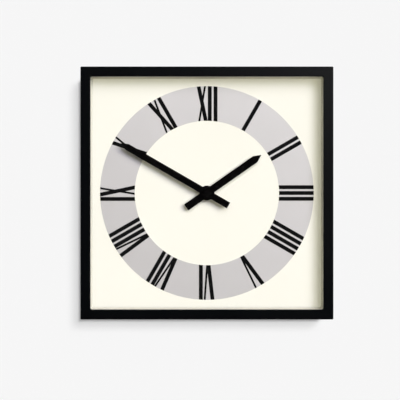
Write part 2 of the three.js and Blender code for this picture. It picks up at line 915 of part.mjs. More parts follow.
function makeMinuteArbor() {

	const pinionBack = minuteWheelBack - pinionOverlap;
	const pinionFront = minuteWheelBack + wheelThickness + pinionOverlap;
	const stem = rod( minuteArborRadius, centreBack - seatGap / 2, minuteArborFront );
	const threadFront = minuteArborFront + threadLength;
	const thread = rod( threadRadius, minuteArborFront - weld, threadFront, centrePlace, 16 );
	const pinion = gearFacing( cannonTeeth, motionModule, knobAngle, pinionBack, pinionFront, false );
	const bore = rod( minuteArborBore, midPlateBack, movementFront + secondsSocketDepth, centrePlace, 8 );
	return unite( [ stem, thread, pinion ] ).subtract( bore );

}

function makeHourWheel() {

	const wheelFront = hourWheelBack + wheelThickness;
	const wheel = gearFacing( hourWheelTeeth, hourModule, knobAngle, hourWheelBack, wheelFront, true );
	const shoulder = rod( hourTubeRadius + hourShoulderWall, hourWheelBack, shellFront - slideGap );
	const tube = rod( hourTubeRadius, hourWheelBack, hourTubeFront );
	const bore = rod( hourTubeBore, hourWheelBack - weld, hourTubeFront + weld );
	return unite( [ wheel, shoulder, tube ] ).subtract( bore );

}

function makeMinuteWheel() {

	const [ back, wheelFront ] = [ minuteWheelBack, minuteWheelBack + wheelThickness ];
	const pinionFront = hourWheelBack + wheelThickness + pinionOverlap;
	const wheel = gearFacing( minuteWheelTeeth, motionModule, knobAngle + 180, back, wheelFront, true );
	const pinion = gearFacing( minutePinionTeeth, hourModule, knobAngle + 180, back, pinionFront, false );
	const pivot = rod( arborRadius, pinionFront - weld, pivotFront, centrePlace, 8 );
	const socket = rod( knobSpigotRadius + pivotGap, back - weld, spigotFront + seatGap, centrePlace, 10 );
	return unite( [ wheel, pinion, pivot ] ).subtract( socket );

}

function makeSettingKnob() {

	const fluteShape = new THREE.Shape();
	const steps = knobFlutes * 4;

	for ( let i = 0; i < steps; i ++ ) {

		const angle = i / steps * Math.PI * 2;
		const radius = knobRadius + fluteDepth * Math.cos( angle * knobFlutes );
		const point = [ radius * Math.cos( angle ), radius * Math.sin( angle ) ];
		if ( i === 0 ) fluteShape.moveTo( ...point );
		else fluteShape.lineTo( ...point );

	}

	fluteShape.closePath();
	const knobFront = movementBack - knobStandoff;
	const knobBack = knobFront - knobHeight;
	const knob = slab( fluteShape, knobBack, knobFront );
	const shaft = rod( knobShaftRadius, knobFront - weld, shaftFront );
	const spigot = rod( knobSpigotRadius, shaftFront - weld, spigotFront, centrePlace, 10 );
	const dish = rod( dishRadius, knobBack - weld, knobBack + dishDepth );
	return unite( [ knob, shaft, spigot ] ).subtract( dish );

}

// Going train: from the rotor to the centre wheel, which drives the minute arbor by friction

function makeCentreWheel() {

	const front = centreBack + wheelThickness;
	const wheel = gearFacing( centreTeeth, trainModule, thirdAngle, centreBack, front, true );
	const boreRadius = minuteArborRadius + pivotGap;
	const hub = rod( boreRadius + clutchWall, centreBack, front + seatGap );
	return wheel.add( hub ).subtract( rod( boreRadius, centreBack - weld, front + seatGap + weld ) );

}

function makeThirdWheel() {

	const front = thirdBack + wheelThickness;
	const pinionFront = centreBack + wheelThickness + pinionOverlap;
	return unite( [
		gearFacing( thirdTeeth, thirdModule, thirdAngle + 180, thirdBack, front, true ),
		gearFacing( thirdPinionTeeth, trainModule, thirdAngle + 180, thirdBack, pinionFront, false ),
		rod( arborRadius, pivotRear, pivotFront, centrePlace, 8 ),
	] );

}

function makeSecondsWheel() {

	const front = secondsBack + wheelThickness;
	const pinionFront = thirdBack + wheelThickness + seatGap / 2;
	return unite( [
		gearFacing( secondsTeeth, secondsModule, intermediateAngle, secondsBack, front, true ),
		gearFacing( secondsPinionTeeth, thirdModule, thirdAngle, secondsBack, pinionFront, false ),
		rod( arborRadius, pivotRear, movementFront, centrePlace, 8 ),
	] );

}

function makeIntermediateWheel() {

	const front = intermediateBack + wheelThickness;
	const pinionFront = secondsBack + wheelThickness + pinionOverlap;
	const [ back, towards ] = [ intermediateBack, intermediateAngle + 180 ];
	return unite( [
		gearFacing( intermediateTeeth, trainModule, rotorAngle, back, front, true ),
		gearFacing( intermediatePinionTeeth, secondsModule, towards, back, pinionFront, false ),
		rod( arborRadius, pivotRear, midPlateFront - seatGap, centrePlace, 8 ),
	] );

}

function makeRotorShaft() {

	const [ back, front ] = [ intermediateBack - pinionOverlap, magnetBack - seatGap ];
	return unite( [
		gearFacing( rotorPinionTeeth, trainModule, rotorAngle + 180, back, front, false ),
		rod( rotorShaftRadius, pivotRear, midPlateFront - seatGap, centrePlace, 8 ),
	] );

}

function makeRotorMagnet() {

	const ring = roundRing( magnetRadius, rotorShaftRadius + pivotGap );
	return slab( ring, magnetBack, magnetBack + magnetLength, 20 );

}

// Motor: a stator plate round the rotor, closed by a core inside the coil

function makeStator() {

	const [ back, front ] = [ statorBack, statorBack + statorThickness ];
	const [ low, high ] = [ coilY - coreHalf, coilY + coreHalf ];
	const { x, y } = rotorPlace;
	const rise = x - statorArm / 2;
	const drop = x + statorArmShift;
	const hole = rod( magnetRadius + airGap, back - weld, front + weld, rotorPlace );
	return unite( [
		rod( statorLobe, back, front, rotorPlace ),
		block( rise, rise + statorArm, y, high, back, front ),
		block( rise, statorReach, high - statorArm, high, back, front ),
		block( drop, drop + statorArm, low, y, back, front ),
		block( drop, statorReach, low, low + statorArm, back, front ),
	] ).subtract( hole );

}

function makeCore() {

	const half = coreWidth / 2;
	const front = coreLevel + coreThickness;
	return block( coreX - half, coreX + half, coilY - coreHalf, coilY + coreHalf, coreLevel, front );

}

function lyingAlongY( solid ) {

	return solid.rotate( [ - 90, 0, 0 ] ).translate( coreX, coilY, coreLevel + coreThickness / 2 );

}

function makeBobbin() {

	const half = coilLength / 2;
	const flange = coilRadius + bobbinFlangeHeight;
	return lyingAlongY( turned( [
		[ bobbinBore, - half - bobbinFlange ],
		[ flange, - half - bobbinFlange ],
		[ flange, - half ],
		[ bobbinBarrel, - half ],
		[ bobbinBarrel, half ],
		[ flange, half ],
		[ flange, half + bobbinFlange ],
		[ bobbinBore, half + bobbinFlange ],
		[ bobbinBore, - half - bobbinFlange ],
	], 16 ) );

}

function makeWinding() {

	const [ inner, half ] = [ bobbinBarrel + pivotGap, coilLength / 2 - seatGap ];
	return lyingAlongY( turned( [
		[ inner, - half ],
		[ coilRadius, - half ],
		[ coilRadius, half ],
		[ inner, half ],
		[ inner, - half ],
	], 16 ) );

}

// Electronics

function circuitRests() {

	return [
		new THREE.Vector2( circuitLeft + restInset, circuitTop - restInset ),
		new THREE.Vector2( circuitRight - restInset, circuitBottom + restInset ),
	];

}

function makeCircuitBoard() {

	const sheet = block( circuitLeft, circuitRight, circuitBottom, circuitTop, circuitBack, circuitFront );
	const chipPlace = new THREE.Vector2( circuitRight - chipFromEdge, ( circuitBottom + circuitTop ) / 2 );
	return sheet.add( rod( chipRadius, circuitFront - weld, circuitFront + chipHeight, chipPlace, 16 ) );

}

function makeCrystal() {

	const can = turned( [
		[ 0, - crystalLength / 2 ],
		[ crystalRadius, - crystalLength / 2 ],
		[ crystalRadius, crystalLength / 2 ],
		[ 0, crystalLength / 2 ],
	], 12 );
	const x = circuitLeft + crystalFromEdge + crystalLength / 2;
	const level = circuitFront + seatGap + crystalRadius;
	return can.rotate( [ 0, 90, 0 ] ).translate( x, circuitTop - restInset, level );

}

function contactStrip( x0, x1, y0, y1 ) {

	return block( ...sorted( x0, x1 ), y0, y1, contactBack, contactBack + contactWidth );

}

function contactTongue( side ) {

	const [ x0, x1 ] = sorted( side * contactFace, side * ( contactFace + contactThickness ) );
	const half = contactPad / 2;
	return block( x0, x1, batteryY - half, batteryY + half, batteryLevel - half, batteryLevel + half );

}

function makePositiveContact() {

	const low = partitionTop + slideGap;
	const high = low + contactThickness;
	const farX = circuitLeft + contactFromEdge;
	const outerX = contactFace + contactThickness;
	return unite( [
		contactTongue( 1 ),
		contactStrip( contactFace, outerX, batteryY, high ),
		contactStrip( farX, outerX, low, high ),
		contactStrip( farX, farX + contactThickness, low, contactTop ),
	] );

}

function makeNegativeContact() {

	const bump = turned( [
		[ 0, 0 ],
		[ springBaseRadius, 0 ],
		[ springTipRadius, springTravel - seatGap ],
		[ 0, springTravel - seatGap ],
	], 12 ).rotate( [ 0, 90, 0 ] ).translate( - contactFace - weld, batteryY, batteryLevel );
	return unite( [
		contactTongue( - 1 ),
		contactStrip( - contactFace, - contactFace - contactThickness, batteryY, contactTop ),
		bump,
	] );

}

function makeBattery() {

	const nubEnd = contactFace - seatGap;
	const frontEnd = nubEnd - nubLength;
	const rearEnd = frontEnd - batteryLength;
	const cell = turned( [
		[ 0, rearEnd ],
		[ batteryRadius - cellEdge, rearEnd ],
		[ batteryRadius, rearEnd + cellEdge ],
		[ batteryRadius, frontEnd - cellEdge ],
		[ batteryRadius - cellEdge, frontEnd ],
		[ nubRadius, frontEnd ],
		[ nubRadius, nubEnd ],
		[ 0, nubEnd ],
	], 20 );
	return cell.rotate( [ 0, 90, 0 ] ).translate( 0, batteryY, batteryLevel );

}

// Assembly

const blackPlastic = finish( 0x101214, 0.42 );
const creamPlastic = finish( 0xfffbef, 0.6 );
const blackPaint = finish( 0x0a0a0b, 0.55, 0.2 );
const steel = finish( 0xb4b6b8, 0.35, 1 );
const brass = finish( 0xc9a24b, 0.35, 1 );
const whitePlastic = finish( 0xe9e6da, 0.5 );

function makeCaseGroup() {

	const group = new THREE.Group();
	group.add( piece( 'case_frame', makeCaseFrame(), blackPlastic.clone() ) );
	group.add( piece( 'front_glass', makeGlass(), finish( 0xf4faf8, 0.05 ) ) );
	group.add( piece( 'spacer_liner', makeLiner(), creamPlastic.clone() ) );
	group.add( piece( 'dial_plate', makeDial(), finish( 0xfffaf0, 0.65 ) ) );
	group.add( piece( 'backing_board', makeBoard(), finish( 0x6f5540, 0.8 ) ) );
	group.add( piece( 'hanger_plate', makeHangerPlate(), steel.clone() ) );
	boardScrewPlaces().forEach( ( place, i ) => {

		const solid = screwBody( boardBack - seatGap, screwLength );
		group.add( placed( piece( `board_screw_${ i + 1 }`, solid, steel.clone() ), place ) );

	} );
	hangerScrewPlaces().forEach( ( place, i ) => {

		const solid = screwBody( hangerRecess - seatGap, hangerScrewLength );
		group.add( placed( piece( `hanger_screw_${ i + 1 }`, solid, steel.clone() ), place ) );

	} );
	return group;

}

function makeHandGroup() {

	const group = new THREE.Group();
	const hour = makeHand( hourHand, hourHandBack, hourTubeRadius );
	const minute = makeHand( minuteHand, minuteHandBack, minuteArborRadius );
	group.add( placed( piece( 'hour_hand', hour, blackPaint.clone() ), centrePlace, hourAngle ) );
	group.add( placed( piece( 'minute_hand', minute, blackPaint.clone() ), centrePlace, minuteAngle ) );
	group.add( piece( 'hand_cap', makeCap(), blackPaint.clone() ) );
	return group;

}

function makeMovementGroup() {

	const group = new THREE.Group();
	group.add( piece( 'movement_housing', makeHousing(), blackPlastic.clone() ) );
	group.add( piece( 'movement_cover', makeCover(), finish( 0x17181a, 0.5 ) ) );
	group.add( piece( 'movement_gasket', makeGasket(), finish( 0x1b1b1b, 0.9 ) ) );
	group.add( piece( 'dial_washer', makeWasher(), brass.clone() ) );
	group.add( piece( 'hex_nut', makeNut(), brass.clone() ) );
	group.add( piece( 'mid_plate', makeMidPlate(), whitePlastic.clone() ) );
	group.add( piece( 'minute_arbor', makeMinuteArbor(), brass.clone() ) );
	group.add( piece( 'hour_wheel', makeHourWheel(), whitePlastic.clone() ) );
	group.add( placed( piece( 'minute_wheel', makeMinuteWheel(), whitePlastic.clone() ), knobPlace ) );
	group.add( placed( piece( 'setting_knob', makeSettingKnob(), finish( 0xd8d5cb, 0.45 ) ), knobPlace ) );
	group.add( piece( 'centre_wheel', makeCentreWheel(), whitePlastic.clone() ) );
	group.add( placed( piece( 'third_wheel', makeThirdWheel(), whitePlastic.clone() ), thirdPlace ) );
	group.add( piece( 'seconds_wheel', makeSecondsWheel(), whitePlastic.clone() ) );
	const intermediate = piece( 'intermediate_wheel', makeIntermediateWheel(), whitePlastic.clone() );
	const magnet = piece( 'rotor_magnet', makeRotorMagnet(), finish( 0x4a4d50, 0.5, 0.8 ) );
	group.add( placed( intermediate, intermediatePlace ) );
	group.add( placed( piece( 'rotor_shaft', makeRotorShaft(), whitePlastic.clone() ), rotorPlace ) );
	group.add( placed( magnet, rotorPlace ) );
	return group;

}

function makeMotorGroup() {

	const group = new THREE.Group();
	group.add( piece( 'stator_plate', makeStator(), steel.clone() ) );
	group.add( piece( 'coil_core', makeCore(), steel.clone() ) );
	group.add( piece( 'coil_bobbin', makeBobbin(), whitePlastic.clone() ) );
	group.add( piece( 'coil_winding', makeWinding(), finish( 0xb5652b, 0.4, 0.9 ) ) );
	group.add( piece( 'circuit_board', makeCircuitBoard(), finish( 0x2f6b3c, 0.6 ) ) );
	group.add( piece( 'quartz_crystal', makeCrystal(), steel.clone() ) );
	group.add( piece( 'contact_positive', makePositiveContact(), steel.clone() ) );
	group.add( piece( 'contact_negative', makeNegativeContact(), steel.clone() ) );
	group.add( piece( 'battery', makeBattery(), finish( 0x3b6ea5, 0.4, 0.3 ) ) );
	return group;

}

const faceFrame = new THREE.Group();
faceFrame.add( makeCaseGroup(), makeHandGroup(), makeMovementGroup(), makeMotorGroup() );
faceFrame.rotation.x = Math.PI / 2;
faceFrame.position.z = - hangHeight;

const clock = new THREE.Group();
clock.add( faceFrame );

export default clock;
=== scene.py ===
from math import pi, radians
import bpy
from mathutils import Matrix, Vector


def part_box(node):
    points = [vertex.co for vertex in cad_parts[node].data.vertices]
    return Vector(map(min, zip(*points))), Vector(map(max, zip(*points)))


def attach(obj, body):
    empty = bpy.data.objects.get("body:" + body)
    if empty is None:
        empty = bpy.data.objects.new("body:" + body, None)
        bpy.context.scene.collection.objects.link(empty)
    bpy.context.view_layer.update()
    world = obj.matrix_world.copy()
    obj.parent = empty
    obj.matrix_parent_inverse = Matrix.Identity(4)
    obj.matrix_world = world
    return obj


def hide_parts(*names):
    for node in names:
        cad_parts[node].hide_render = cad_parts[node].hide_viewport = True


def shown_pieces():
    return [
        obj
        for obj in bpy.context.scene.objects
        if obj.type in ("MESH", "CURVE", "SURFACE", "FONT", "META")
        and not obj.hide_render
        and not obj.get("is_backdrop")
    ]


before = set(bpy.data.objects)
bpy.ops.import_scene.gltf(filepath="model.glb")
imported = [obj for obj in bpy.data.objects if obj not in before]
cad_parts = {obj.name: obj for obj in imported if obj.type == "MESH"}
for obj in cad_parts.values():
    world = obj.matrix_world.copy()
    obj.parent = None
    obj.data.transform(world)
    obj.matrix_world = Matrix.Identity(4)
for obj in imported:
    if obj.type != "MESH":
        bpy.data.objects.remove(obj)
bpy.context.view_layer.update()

from types import SimpleNamespace as Values

import bmesh
import bpy
import numpy as np
from mathutils import Vector

# Shapes are worked out in millimetres: right and up on the clock's face, and out from the wall. Each piece
# has its named sizes in one set of values. A shell is its points and its four-cornered faces. The clock
# hangs from a point this far above its dial's middle.
hangHeight = 136.5
dialMiddle = (0, 0, -hangHeight / 1000)


def toScene(points):
    # x is right, y is minus out, and z is up less the hanging height, all in metres
    return np.stack([points[:, 0], -points[:, 2], points[:, 1] - hangHeight], axis=1) / 1000


def circlePoints(angle):
    # the cosine and the sine of each angle
    return np.stack([np.cos(angle), np.sin(angle)], axis=-1)


def evenAngles(count):
    return np.arange(count) * 2 * pi / count


def gridFaces(rows, columns, closedRows, closedColumns):
    # each cell of the grid is one quad, and a closed direction joins its last line to its first
    row, column = np.meshgrid(
        np.arange(rows - (not closedRows)), np.arange(columns - (not closedColumns)), indexing="ij")
    nextRow, nextColumn = (row + 1) % rows, (column + 1) % columns
    corners = [row * columns + column, row * columns + nextColumn,
               nextRow * columns + nextColumn, nextRow * columns + column]
    return np.stack(corners, axis=-1).reshape(-1, 4)


def stacked(outlines, levels, closedRows=True, closedColumns=True):
    # one outline per level, joined into a grid; outlines is rows by columns by two
    outlines = np.asarray(outlines, dtype=float)
    rows, columns = outlines.shape[:2]
    heights = np.broadcast_to(np.asarray(levels, dtype=float)[:, None, None], (rows, columns, 1))
    points = np.concatenate([outlines, heights], axis=-1).reshape(-1, 3)
    return points, gridFaces(rows, columns, closedRows, closedColumns)


def roundCorners(corners, radii, steps):
    # A corner becomes an arc. The arc starts radius / tan(half the inner angle) before the corner, and
    # its centre is radius / sin(half the inner angle) along the line that halves the corner.
    corners = np.asarray(corners, dtype=float)
    before = np.roll(corners, 1, axis=0) - corners
    after = np.roll(corners, -1, axis=0) - corners
    before /= np.linalg.norm(before, axis=1, keepdims=True)
    after /= np.linalg.norm(after, axis=1, keepdims=True)
    halfAngle = np.arccos(np.clip((before * after).sum(axis=1), -1, 1)) / 2
    radii = np.broadcast_to(np.asarray(radii, dtype=float), halfAngle.shape)
    middle = before + after
    middle /= np.linalg.norm(middle, axis=1, keepdims=True)
    centre = corners + middle * (radii / np.sin(halfAngle))[:, None]
    reach = (radii / np.tan(halfAngle))[:, None]
    start = (corners + before * reach - centre)[:, None]
    finish = (corners + after * reach - centre)[:, None]
    turn = (pi - 2 * halfAngle)[:, None, None]
    share = np.linspace(0, 1, steps + 1)[None, :, None]
    arc = (np.sin((1 - share) * turn) * start + np.sin(share * turn) * finish) / np.sin(turn)
    return (centre[:, None] + arc).reshape(-1, 2)


def squareOutlines(halfWidth, halfHeight, radius, sideSteps=1, cornerSteps=6):
    # One rounded rectangle per entry. Each corner is a quarter circle about a point that lies one corner
    # radius inside both sides, and each straight side is divided evenly up to the next corner.
    halfWidth, halfHeight, radius = np.broadcast_arrays(
        *(np.atleast_1d(np.asarray(v, dtype=float)) for v in (halfWidth, halfHeight, radius)))
    angle = np.linspace(0, pi / 2, cornerSteps + 1)
    arcs = []
    for quarter, (sideX, sideY) in enumerate([(1, 1), (-1, 1), (-1, -1), (1, -1)]):
        centre = np.stack([sideX * (halfWidth - radius), sideY * (halfHeight - radius)], axis=-1)
        arcs.append(centre[:, None] + radius[:, None, None] * circlePoints(angle + quarter * pi / 2))
    share = np.linspace(0, 1, sideSteps + 1)[1:-1, None]
    parts = []
    for arc, following in zip(arcs, arcs[1:] + arcs[:1]):
        parts.append(arc)
        parts.append(arc[:, -1:] * (1 - share) + following[:, :1] * share)
    return np.concatenate(parts, axis=1)


def sweptSquare(corners, fillets, cornerRadii, steps=4, cornerSteps=6):
    # a closed profile of (half width, level), its corners filleted, carried round rounded squares
    profile = roundCorners(corners, fillets, steps)
    radii = np.repeat(np.broadcast_to(np.asarray(cornerRadii, dtype=float), len(corners)), steps + 1)
    outlines = squareOutlines(profile[:, 0], profile[:, 0], radii, cornerSteps=cornerSteps)
    return stacked(outlines, profile[:, 1])


def lathe(profile, columns, closed=True):
    # a profile of (radius, level) turned about the axis that points out from the wall
    profile = np.asarray(profile, dtype=float)
    outlines = profile[:, 0, None, None] * circlePoints(evenAngles(columns))
    return stacked(outlines, profile[:, 1], closedRows=closed)


def edgedOutlines(x0, x1, y0, y1, fillet, edge):
    # a rounded rectangle, and before it the same one with its sides drawn in by a softened edge's width
    insets = np.array([edge, 0])
    outlines = squareOutlines((x1 - x0) / 2 - insets, (y1 - y0) / 2 - insets, fillet - insets, cornerSteps=4)
    return outlines + ((x0 + x1) / 2, (y0 + y1) / 2)


def boxShell(x0, x1, y0, y1, z0, z1, fillet=0.3, edge=0.15):
    # a block with all its edges softened: two caps, their edges and four walls as one grid
    inset, outline = edgedOutlines(x0, x1, y0, y1, fillet, edge)
    middle = np.broadcast_to(outline.mean(axis=0), outline.shape)
    return stacked([middle, inset, outline, outline, inset, middle], [z1, z1, z1 - edge, z0 + edge, z0, z0],
                   closedRows=False)


def bandShell(inner, outer, top, bed):
    # a raised band between two lines of equally many points, closed at both ends
    points, faces = stacked([inner, outer, outer, inner], [top, top, bed, bed], closedColumns=False)
    first = np.arange(4) * len(inner)
    return points, np.concatenate([faces, [first, first + len(inner) - 1]])


def movedShell(shell, right, up):
    points, faces = shell
    return points + (right, up, 0), faces


def turnedShell(shell, clockwise):
    # turned about the origin as the viewer sees it, in degrees
    points, faces = shell
    angle = radians(clockwise)
    x = points[:, 0] * np.cos(angle) + points[:, 1] * np.sin(angle)
    y = points[:, 1] * np.cos(angle) - points[:, 0] * np.sin(angle)
    return np.stack([x, y, points[:, 2]], axis=1), faces


# How meshes are finished, in metres and degrees: points closer than merge become one, and a bevel softens
# the edges that turn by more than bevelFrom
meshing = Values(merge=1e-7, tinyEdge=1e-8, copyMerge=1e-6, copyFlat=1, bevelFrom=32, segments=2)


def finishMesh(piece, bevel, sharpAngle):
    # doubles merged, faces turned outwards, and flat faces kept flat under smooth shading
    work = bmesh.new()
    work.from_mesh(piece.data)
    bmesh.ops.remove_doubles(work, verts=work.verts, dist=meshing.merge)
    bmesh.ops.dissolve_degenerate(work, edges=work.edges, dist=meshing.tinyEdge)
    bmesh.ops.recalc_face_normals(work, faces=work.faces)
    work.to_mesh(piece.data)
    work.free()
    piece.data.shade_smooth()
    if bevel:
        edges = piece.modifiers.new("softEdges", "BEVEL")
        edges.width = bevel / 1000
        edges.segments = meshing.segments
        edges.limit_method = "ANGLE"
        edges.angle_limit = radians(meshing.bevelFrom)
        edges.use_clamp_overlap = False
    else:
        piece.data.set_sharp_from_angle(angle=radians(sharpAngle))
    normals = piece.modifiers.new("flatFaces", "WEIGHTED_NORMAL")
    normals.keep_sharp = True


def placePiece(piece, look, node, body="case", bevel=0, sharpAngle=40):
    bpy.context.scene.collection.objects.link(piece)
    piece.data.materials.append(looks[look])
    finishMesh(piece, bevel, sharpAngle)
    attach(piece, body)
    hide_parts(node)
    return piece


def makePiece(name, shells, look, node, **settings):
    points = np.concatenate([shellPoints for shellPoints, shellFaces in shells])
    starts = np.cumsum([0] + [len(shellPoints) for shellPoints, shellFaces in shells])
    faces = np.concatenate([shellFaces + start for start, (shellPoints, shellFaces) in zip(starts, shells)])
    mesh = bpy.data.meshes.new(name)
    mesh.from_pydata(toScene(points).tolist(), [], faces.tolist())
    return placePiece(bpy.data.objects.new(name, mesh), look, node, **settings)


def softCopy(name, node, look, bevel):
    # the CAD mesh is loose triangles, so its copy is merged and its flat faces joined before it is bevelled
    piece = bpy.data.objects.new(name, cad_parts[node].data.copy())
    piece.data.materials.clear()
    work = bmesh.new()
    work.from_mesh(piece.data)
    bmesh.ops.remove_doubles(work, verts=work.verts, dist=meshing.copyMerge)
    bmesh.ops.dissolve_limit(work, angle_limit=radians(meshing.copyFlat), verts=work.verts, edges=work.edges)
    work.to_mesh(piece.data)
    work.free()
    placePiece(piece, look, node, bevel=bevel)


# Steps that the finishes are made of: most of them add one node to the tree and give its output

def feed(tree, node, values):
    # a socket is linked to the input of that name, and a constant is set on it
    for key, value in values.items():
        if isinstance(value, bpy.types.NodeSocket):
            tree.links.new(value, node.inputs[key])
        else:
            node.inputs[key].default_value = value


def addNode(tree, kind, values=None, **settings):
    node = tree.nodes.new("ShaderNode" + kind)
    for key, value in settings.items():
        setattr(node, key, value)
    feed(tree, node, values or {})
    return node


def calculate(tree, operation, first, second):
    return addNode(tree, "Math", {0: first, 1: second}, operation=operation).outputs[0]


def mixValues(tree, factor, low, high):
    return addNode(tree, "Mix", {0: factor, 2: low, 3: high}).outputs[0]


def mixColours(tree, factor, *colours):
    # from the first colour to the second; each is three numbers or a socket
    low, high = (part if isinstance(part, bpy.types.NodeSocket) else (*part, 1) for part in colours)
    return addNode(tree, "Mix", {0: factor, 6: low, 7: high}, data_type="RGBA").outputs[2]


def spreadValue(tree, value, low, high, fromLow=0.0, fromHigh=1.0):
    return addNode(tree, "MapRange", {
        "Value": value, "From Min": fromLow, "From Max": fromHigh, "To Min": low, "To Max": high}).outputs[0]


def noiseMask(tree, vector, scale, detail, roughness=0.5):
    return addNode(tree, "TexNoise", {
        "Vector": vector, "Scale": scale, "Detail": detail, "Roughness": roughness}).outputs["Fac"]


def useHeight(tree, shader, height, depth):
    # depth is in millimetres
    bump = addNode(tree, "Bump", {"Height": height, "Distance": depth / 1000, "Strength": 1.0})
    feed(tree, shader, {"Normal": bump.outputs[0]})


def letThrough(tree, shader, mask):
    # the surface isn't there where the mask is 1
    through = addNode(tree, "BsdfTransparent")
    mix = addNode(tree, "MixShader", {0: mask, 1: shader.outputs[0], 2: through.outputs[0]})
    feed(tree, tree.nodes["Material Output"], {"Surface": mix.outputs[0]})


# Shader groups that several finishes share: each reads a vector in metres, and its lengths in millimetres

def newGroup(name, lengths, masks):
    group = bpy.data.node_groups.new(name, "ShaderNodeTree")
    newSocket = group.interface.new_socket
    newSocket(name="Vector", in_out="INPUT", socket_type="NodeSocketVector")
    for label, length in lengths.items():
        newSocket(name=label, in_out="INPUT", socket_type="NodeSocketFloat").default_value = length
    for label in masks:
        newSocket(name=label, in_out="OUTPUT", socket_type="NodeSocketFloat")
    return group, group.nodes.new("NodeGroupInput").outputs, group.nodes.new("NodeGroupOutput")


def mouldedGroup():
    # spark-eroded plastic or sprayed paint: fine noise over coarser noise as a height, and a slow mottle
    tree, given, result = newGroup("mouldedSkin", {"Grain mm": 0.4, "Mottle mm": 30}, ["Height", "Mottle"])
    vector = given["Vector"]
    fineScale = calculate(tree, "DIVIDE", 1000, given["Grain mm"])
    coarseScale = calculate(tree, "MULTIPLY", fineScale, 0.31)
    slowScale = calculate(tree, "DIVIDE", 1000, given["Mottle mm"])
    fine = noiseMask(tree, vector, fineScale, detail=2.0)
    coarse = noiseMask(tree, vector, coarseScale, detail=1.0)
    slow = noiseMask(tree, vector, slowScale, detail=3.0, roughness=0.45)
    feed(tree, result, {"Height": mixValues(tree, 0.35, fine, coarse),
                        "Mottle": spreadValue(tree, slow, 0, 1, 0.3, 0.7)})
    return tree


def brushedGroup():
    # scratches along x: noise squeezed across the brushing, strong and weak bands mixed
    tree, given, result = newGroup("brushedMetal", {"Spacing mm": 0.15}, ["Height", "Streak"])
    squeezed = addNode(tree, "Mapping", {"Vector": given["Vector"], "Scale": (0.03, 1, 1)}).outputs[0]
    fineScale = calculate(tree, "DIVIDE", 1000, given["Spacing mm"])
    wideScale = calculate(tree, "MULTIPLY", fineScale, 0.12)
    fine = noiseMask(tree, squeezed, fineScale, detail=3.0)
    wide = noiseMask(tree, squeezed, wideScale, detail=2.0)
    feed(tree, result, {"Height": fine, "Streak": mixValues(tree, 0.5, fine, wide)})
    return tree


def turnedGroup():
    # fine rings about an axis through the vector's origin, as a turning tool leaves them
    tree, given, result = newGroup("turnedRings", {"Pitch mm": 0.2}, ["Height"])
    flat = addNode(tree, "VectorMath", {0: given["Vector"], 1: (1, 0, 1)}, operation="MULTIPLY").outputs[0]
    radius = addNode(tree, "VectorMath", {0: flat}, operation="LENGTH").outputs["Value"]
    turns = calculate(tree, "DIVIDE", calculate(tree, "MULTIPLY", radius, 1000), given["Pitch mm"])
    feed(tree, result, {"Height": calculate(tree, "PINGPONG", turns, 1.0)})
    return tree


mouldedSkin, brushedMetal, turnedRings = mouldedGroup(), brushedGroup(), turnedGroup()


def newLook(name, roughness=0.5, metallic=0.0, centre=(0, 0, 0), **sockets):
    # a Principled shader, and a vector in metres from the pattern's centre
    material = bpy.data.materials.new(name)
    material.use_nodes = True
    tree = material.node_tree
    shader = tree.nodes["Principled BSDF"]
    feed(tree, shader, {"Roughness": roughness, "Metallic": metallic})
    feed(tree, shader, {key.replace("_", " "): value for key, value in sockets.items()})
    place = addNode(tree, "TexCoord").outputs["Object"]
    moved = addNode(tree, "Mapping", {"Vector": place, "Location": [-part for part in centre]})
    return material, tree, shader, moved.outputs[0]


def skinMasks(tree, vector, mottle, grain=0.4):
    skin = addNode(tree, "Group", {"Vector": vector, "Grain mm": grain, "Mottle mm": mottle},
                   node_tree=mouldedSkin)
    return skin.outputs["Height"], skin.outputs["Mottle"]


def mouldedLook(name, low, high, rough, grain, mottle, depth, **sockets):
    # plastic, paint or rubber: two close colours by a slow mottle, and a fine skin in the normals
    material, tree, shader, vector = newLook(name, roughness=rough[0], **sockets)
    height, slow = skinMasks(tree, vector, mottle, grain)
    feed(tree, shader, {"Base Color": mixColours(tree, slow, low, high),
                        "Roughness": spreadValue(tree, height, *rough, 0.3, 0.7)})
    useHeight(tree, shader, height, depth)
    return material


def brushedLook(name, low, high, rough, spacing, depth):
    # sheet metal: the streaks of its scratches change its colour and its gloss
    material, tree, shader, vector = newLook(name, metallic=1.0)
    scratches = addNode(tree, "Group", {"Vector": vector, "Spacing mm": spacing}, node_tree=brushedMetal)
    streak = spreadValue(tree, scratches.outputs["Streak"], 0, 1, 0.35, 0.65)
    feed(tree, shader, {"Base Color": mixColours(tree, streak, low, high),
                        "Roughness": spreadValue(tree, streak, *rough)})
    useHeight(tree, shader, scratches.outputs["Height"], depth)
    return material


def turnedLook(name, low, high, rough, pitch, depth, centre=(0, 0, 0)):
    # turned metal: rings in its gloss and its normals, and a small mottle in its colour
    material, tree, shader, vector = newLook(name, metallic=1.0, centre=centre)
    rings = addNode(tree, "Group", {"Vector": vector, "Pitch mm": pitch}, node_tree=turnedRings).outputs[0]
    slow = skinMasks(tree, vector, mottle=4)[1]
    feed(tree, shader, {"Base Color": mixColours(tree, slow, low, high),
                        "Roughness": spreadValue(tree, rings, *rough)})
    useHeight(tree, shader, rings, depth)
    return material


# The ring's grey print carries a painted sheen: its colour is painted lighter along this way, towards the
# upper right where the light comes from, from one reach in metres before the dial's middle to one beyond it
ringPrintAndSheen = Values(way=(0.585, 0, 0.811), reach=0.129, dark=(0.558, 0.530, 0.526),
                   light=(0.684, 0.653, 0.652), mottle=30, speckle=0.08, depth=0.004)


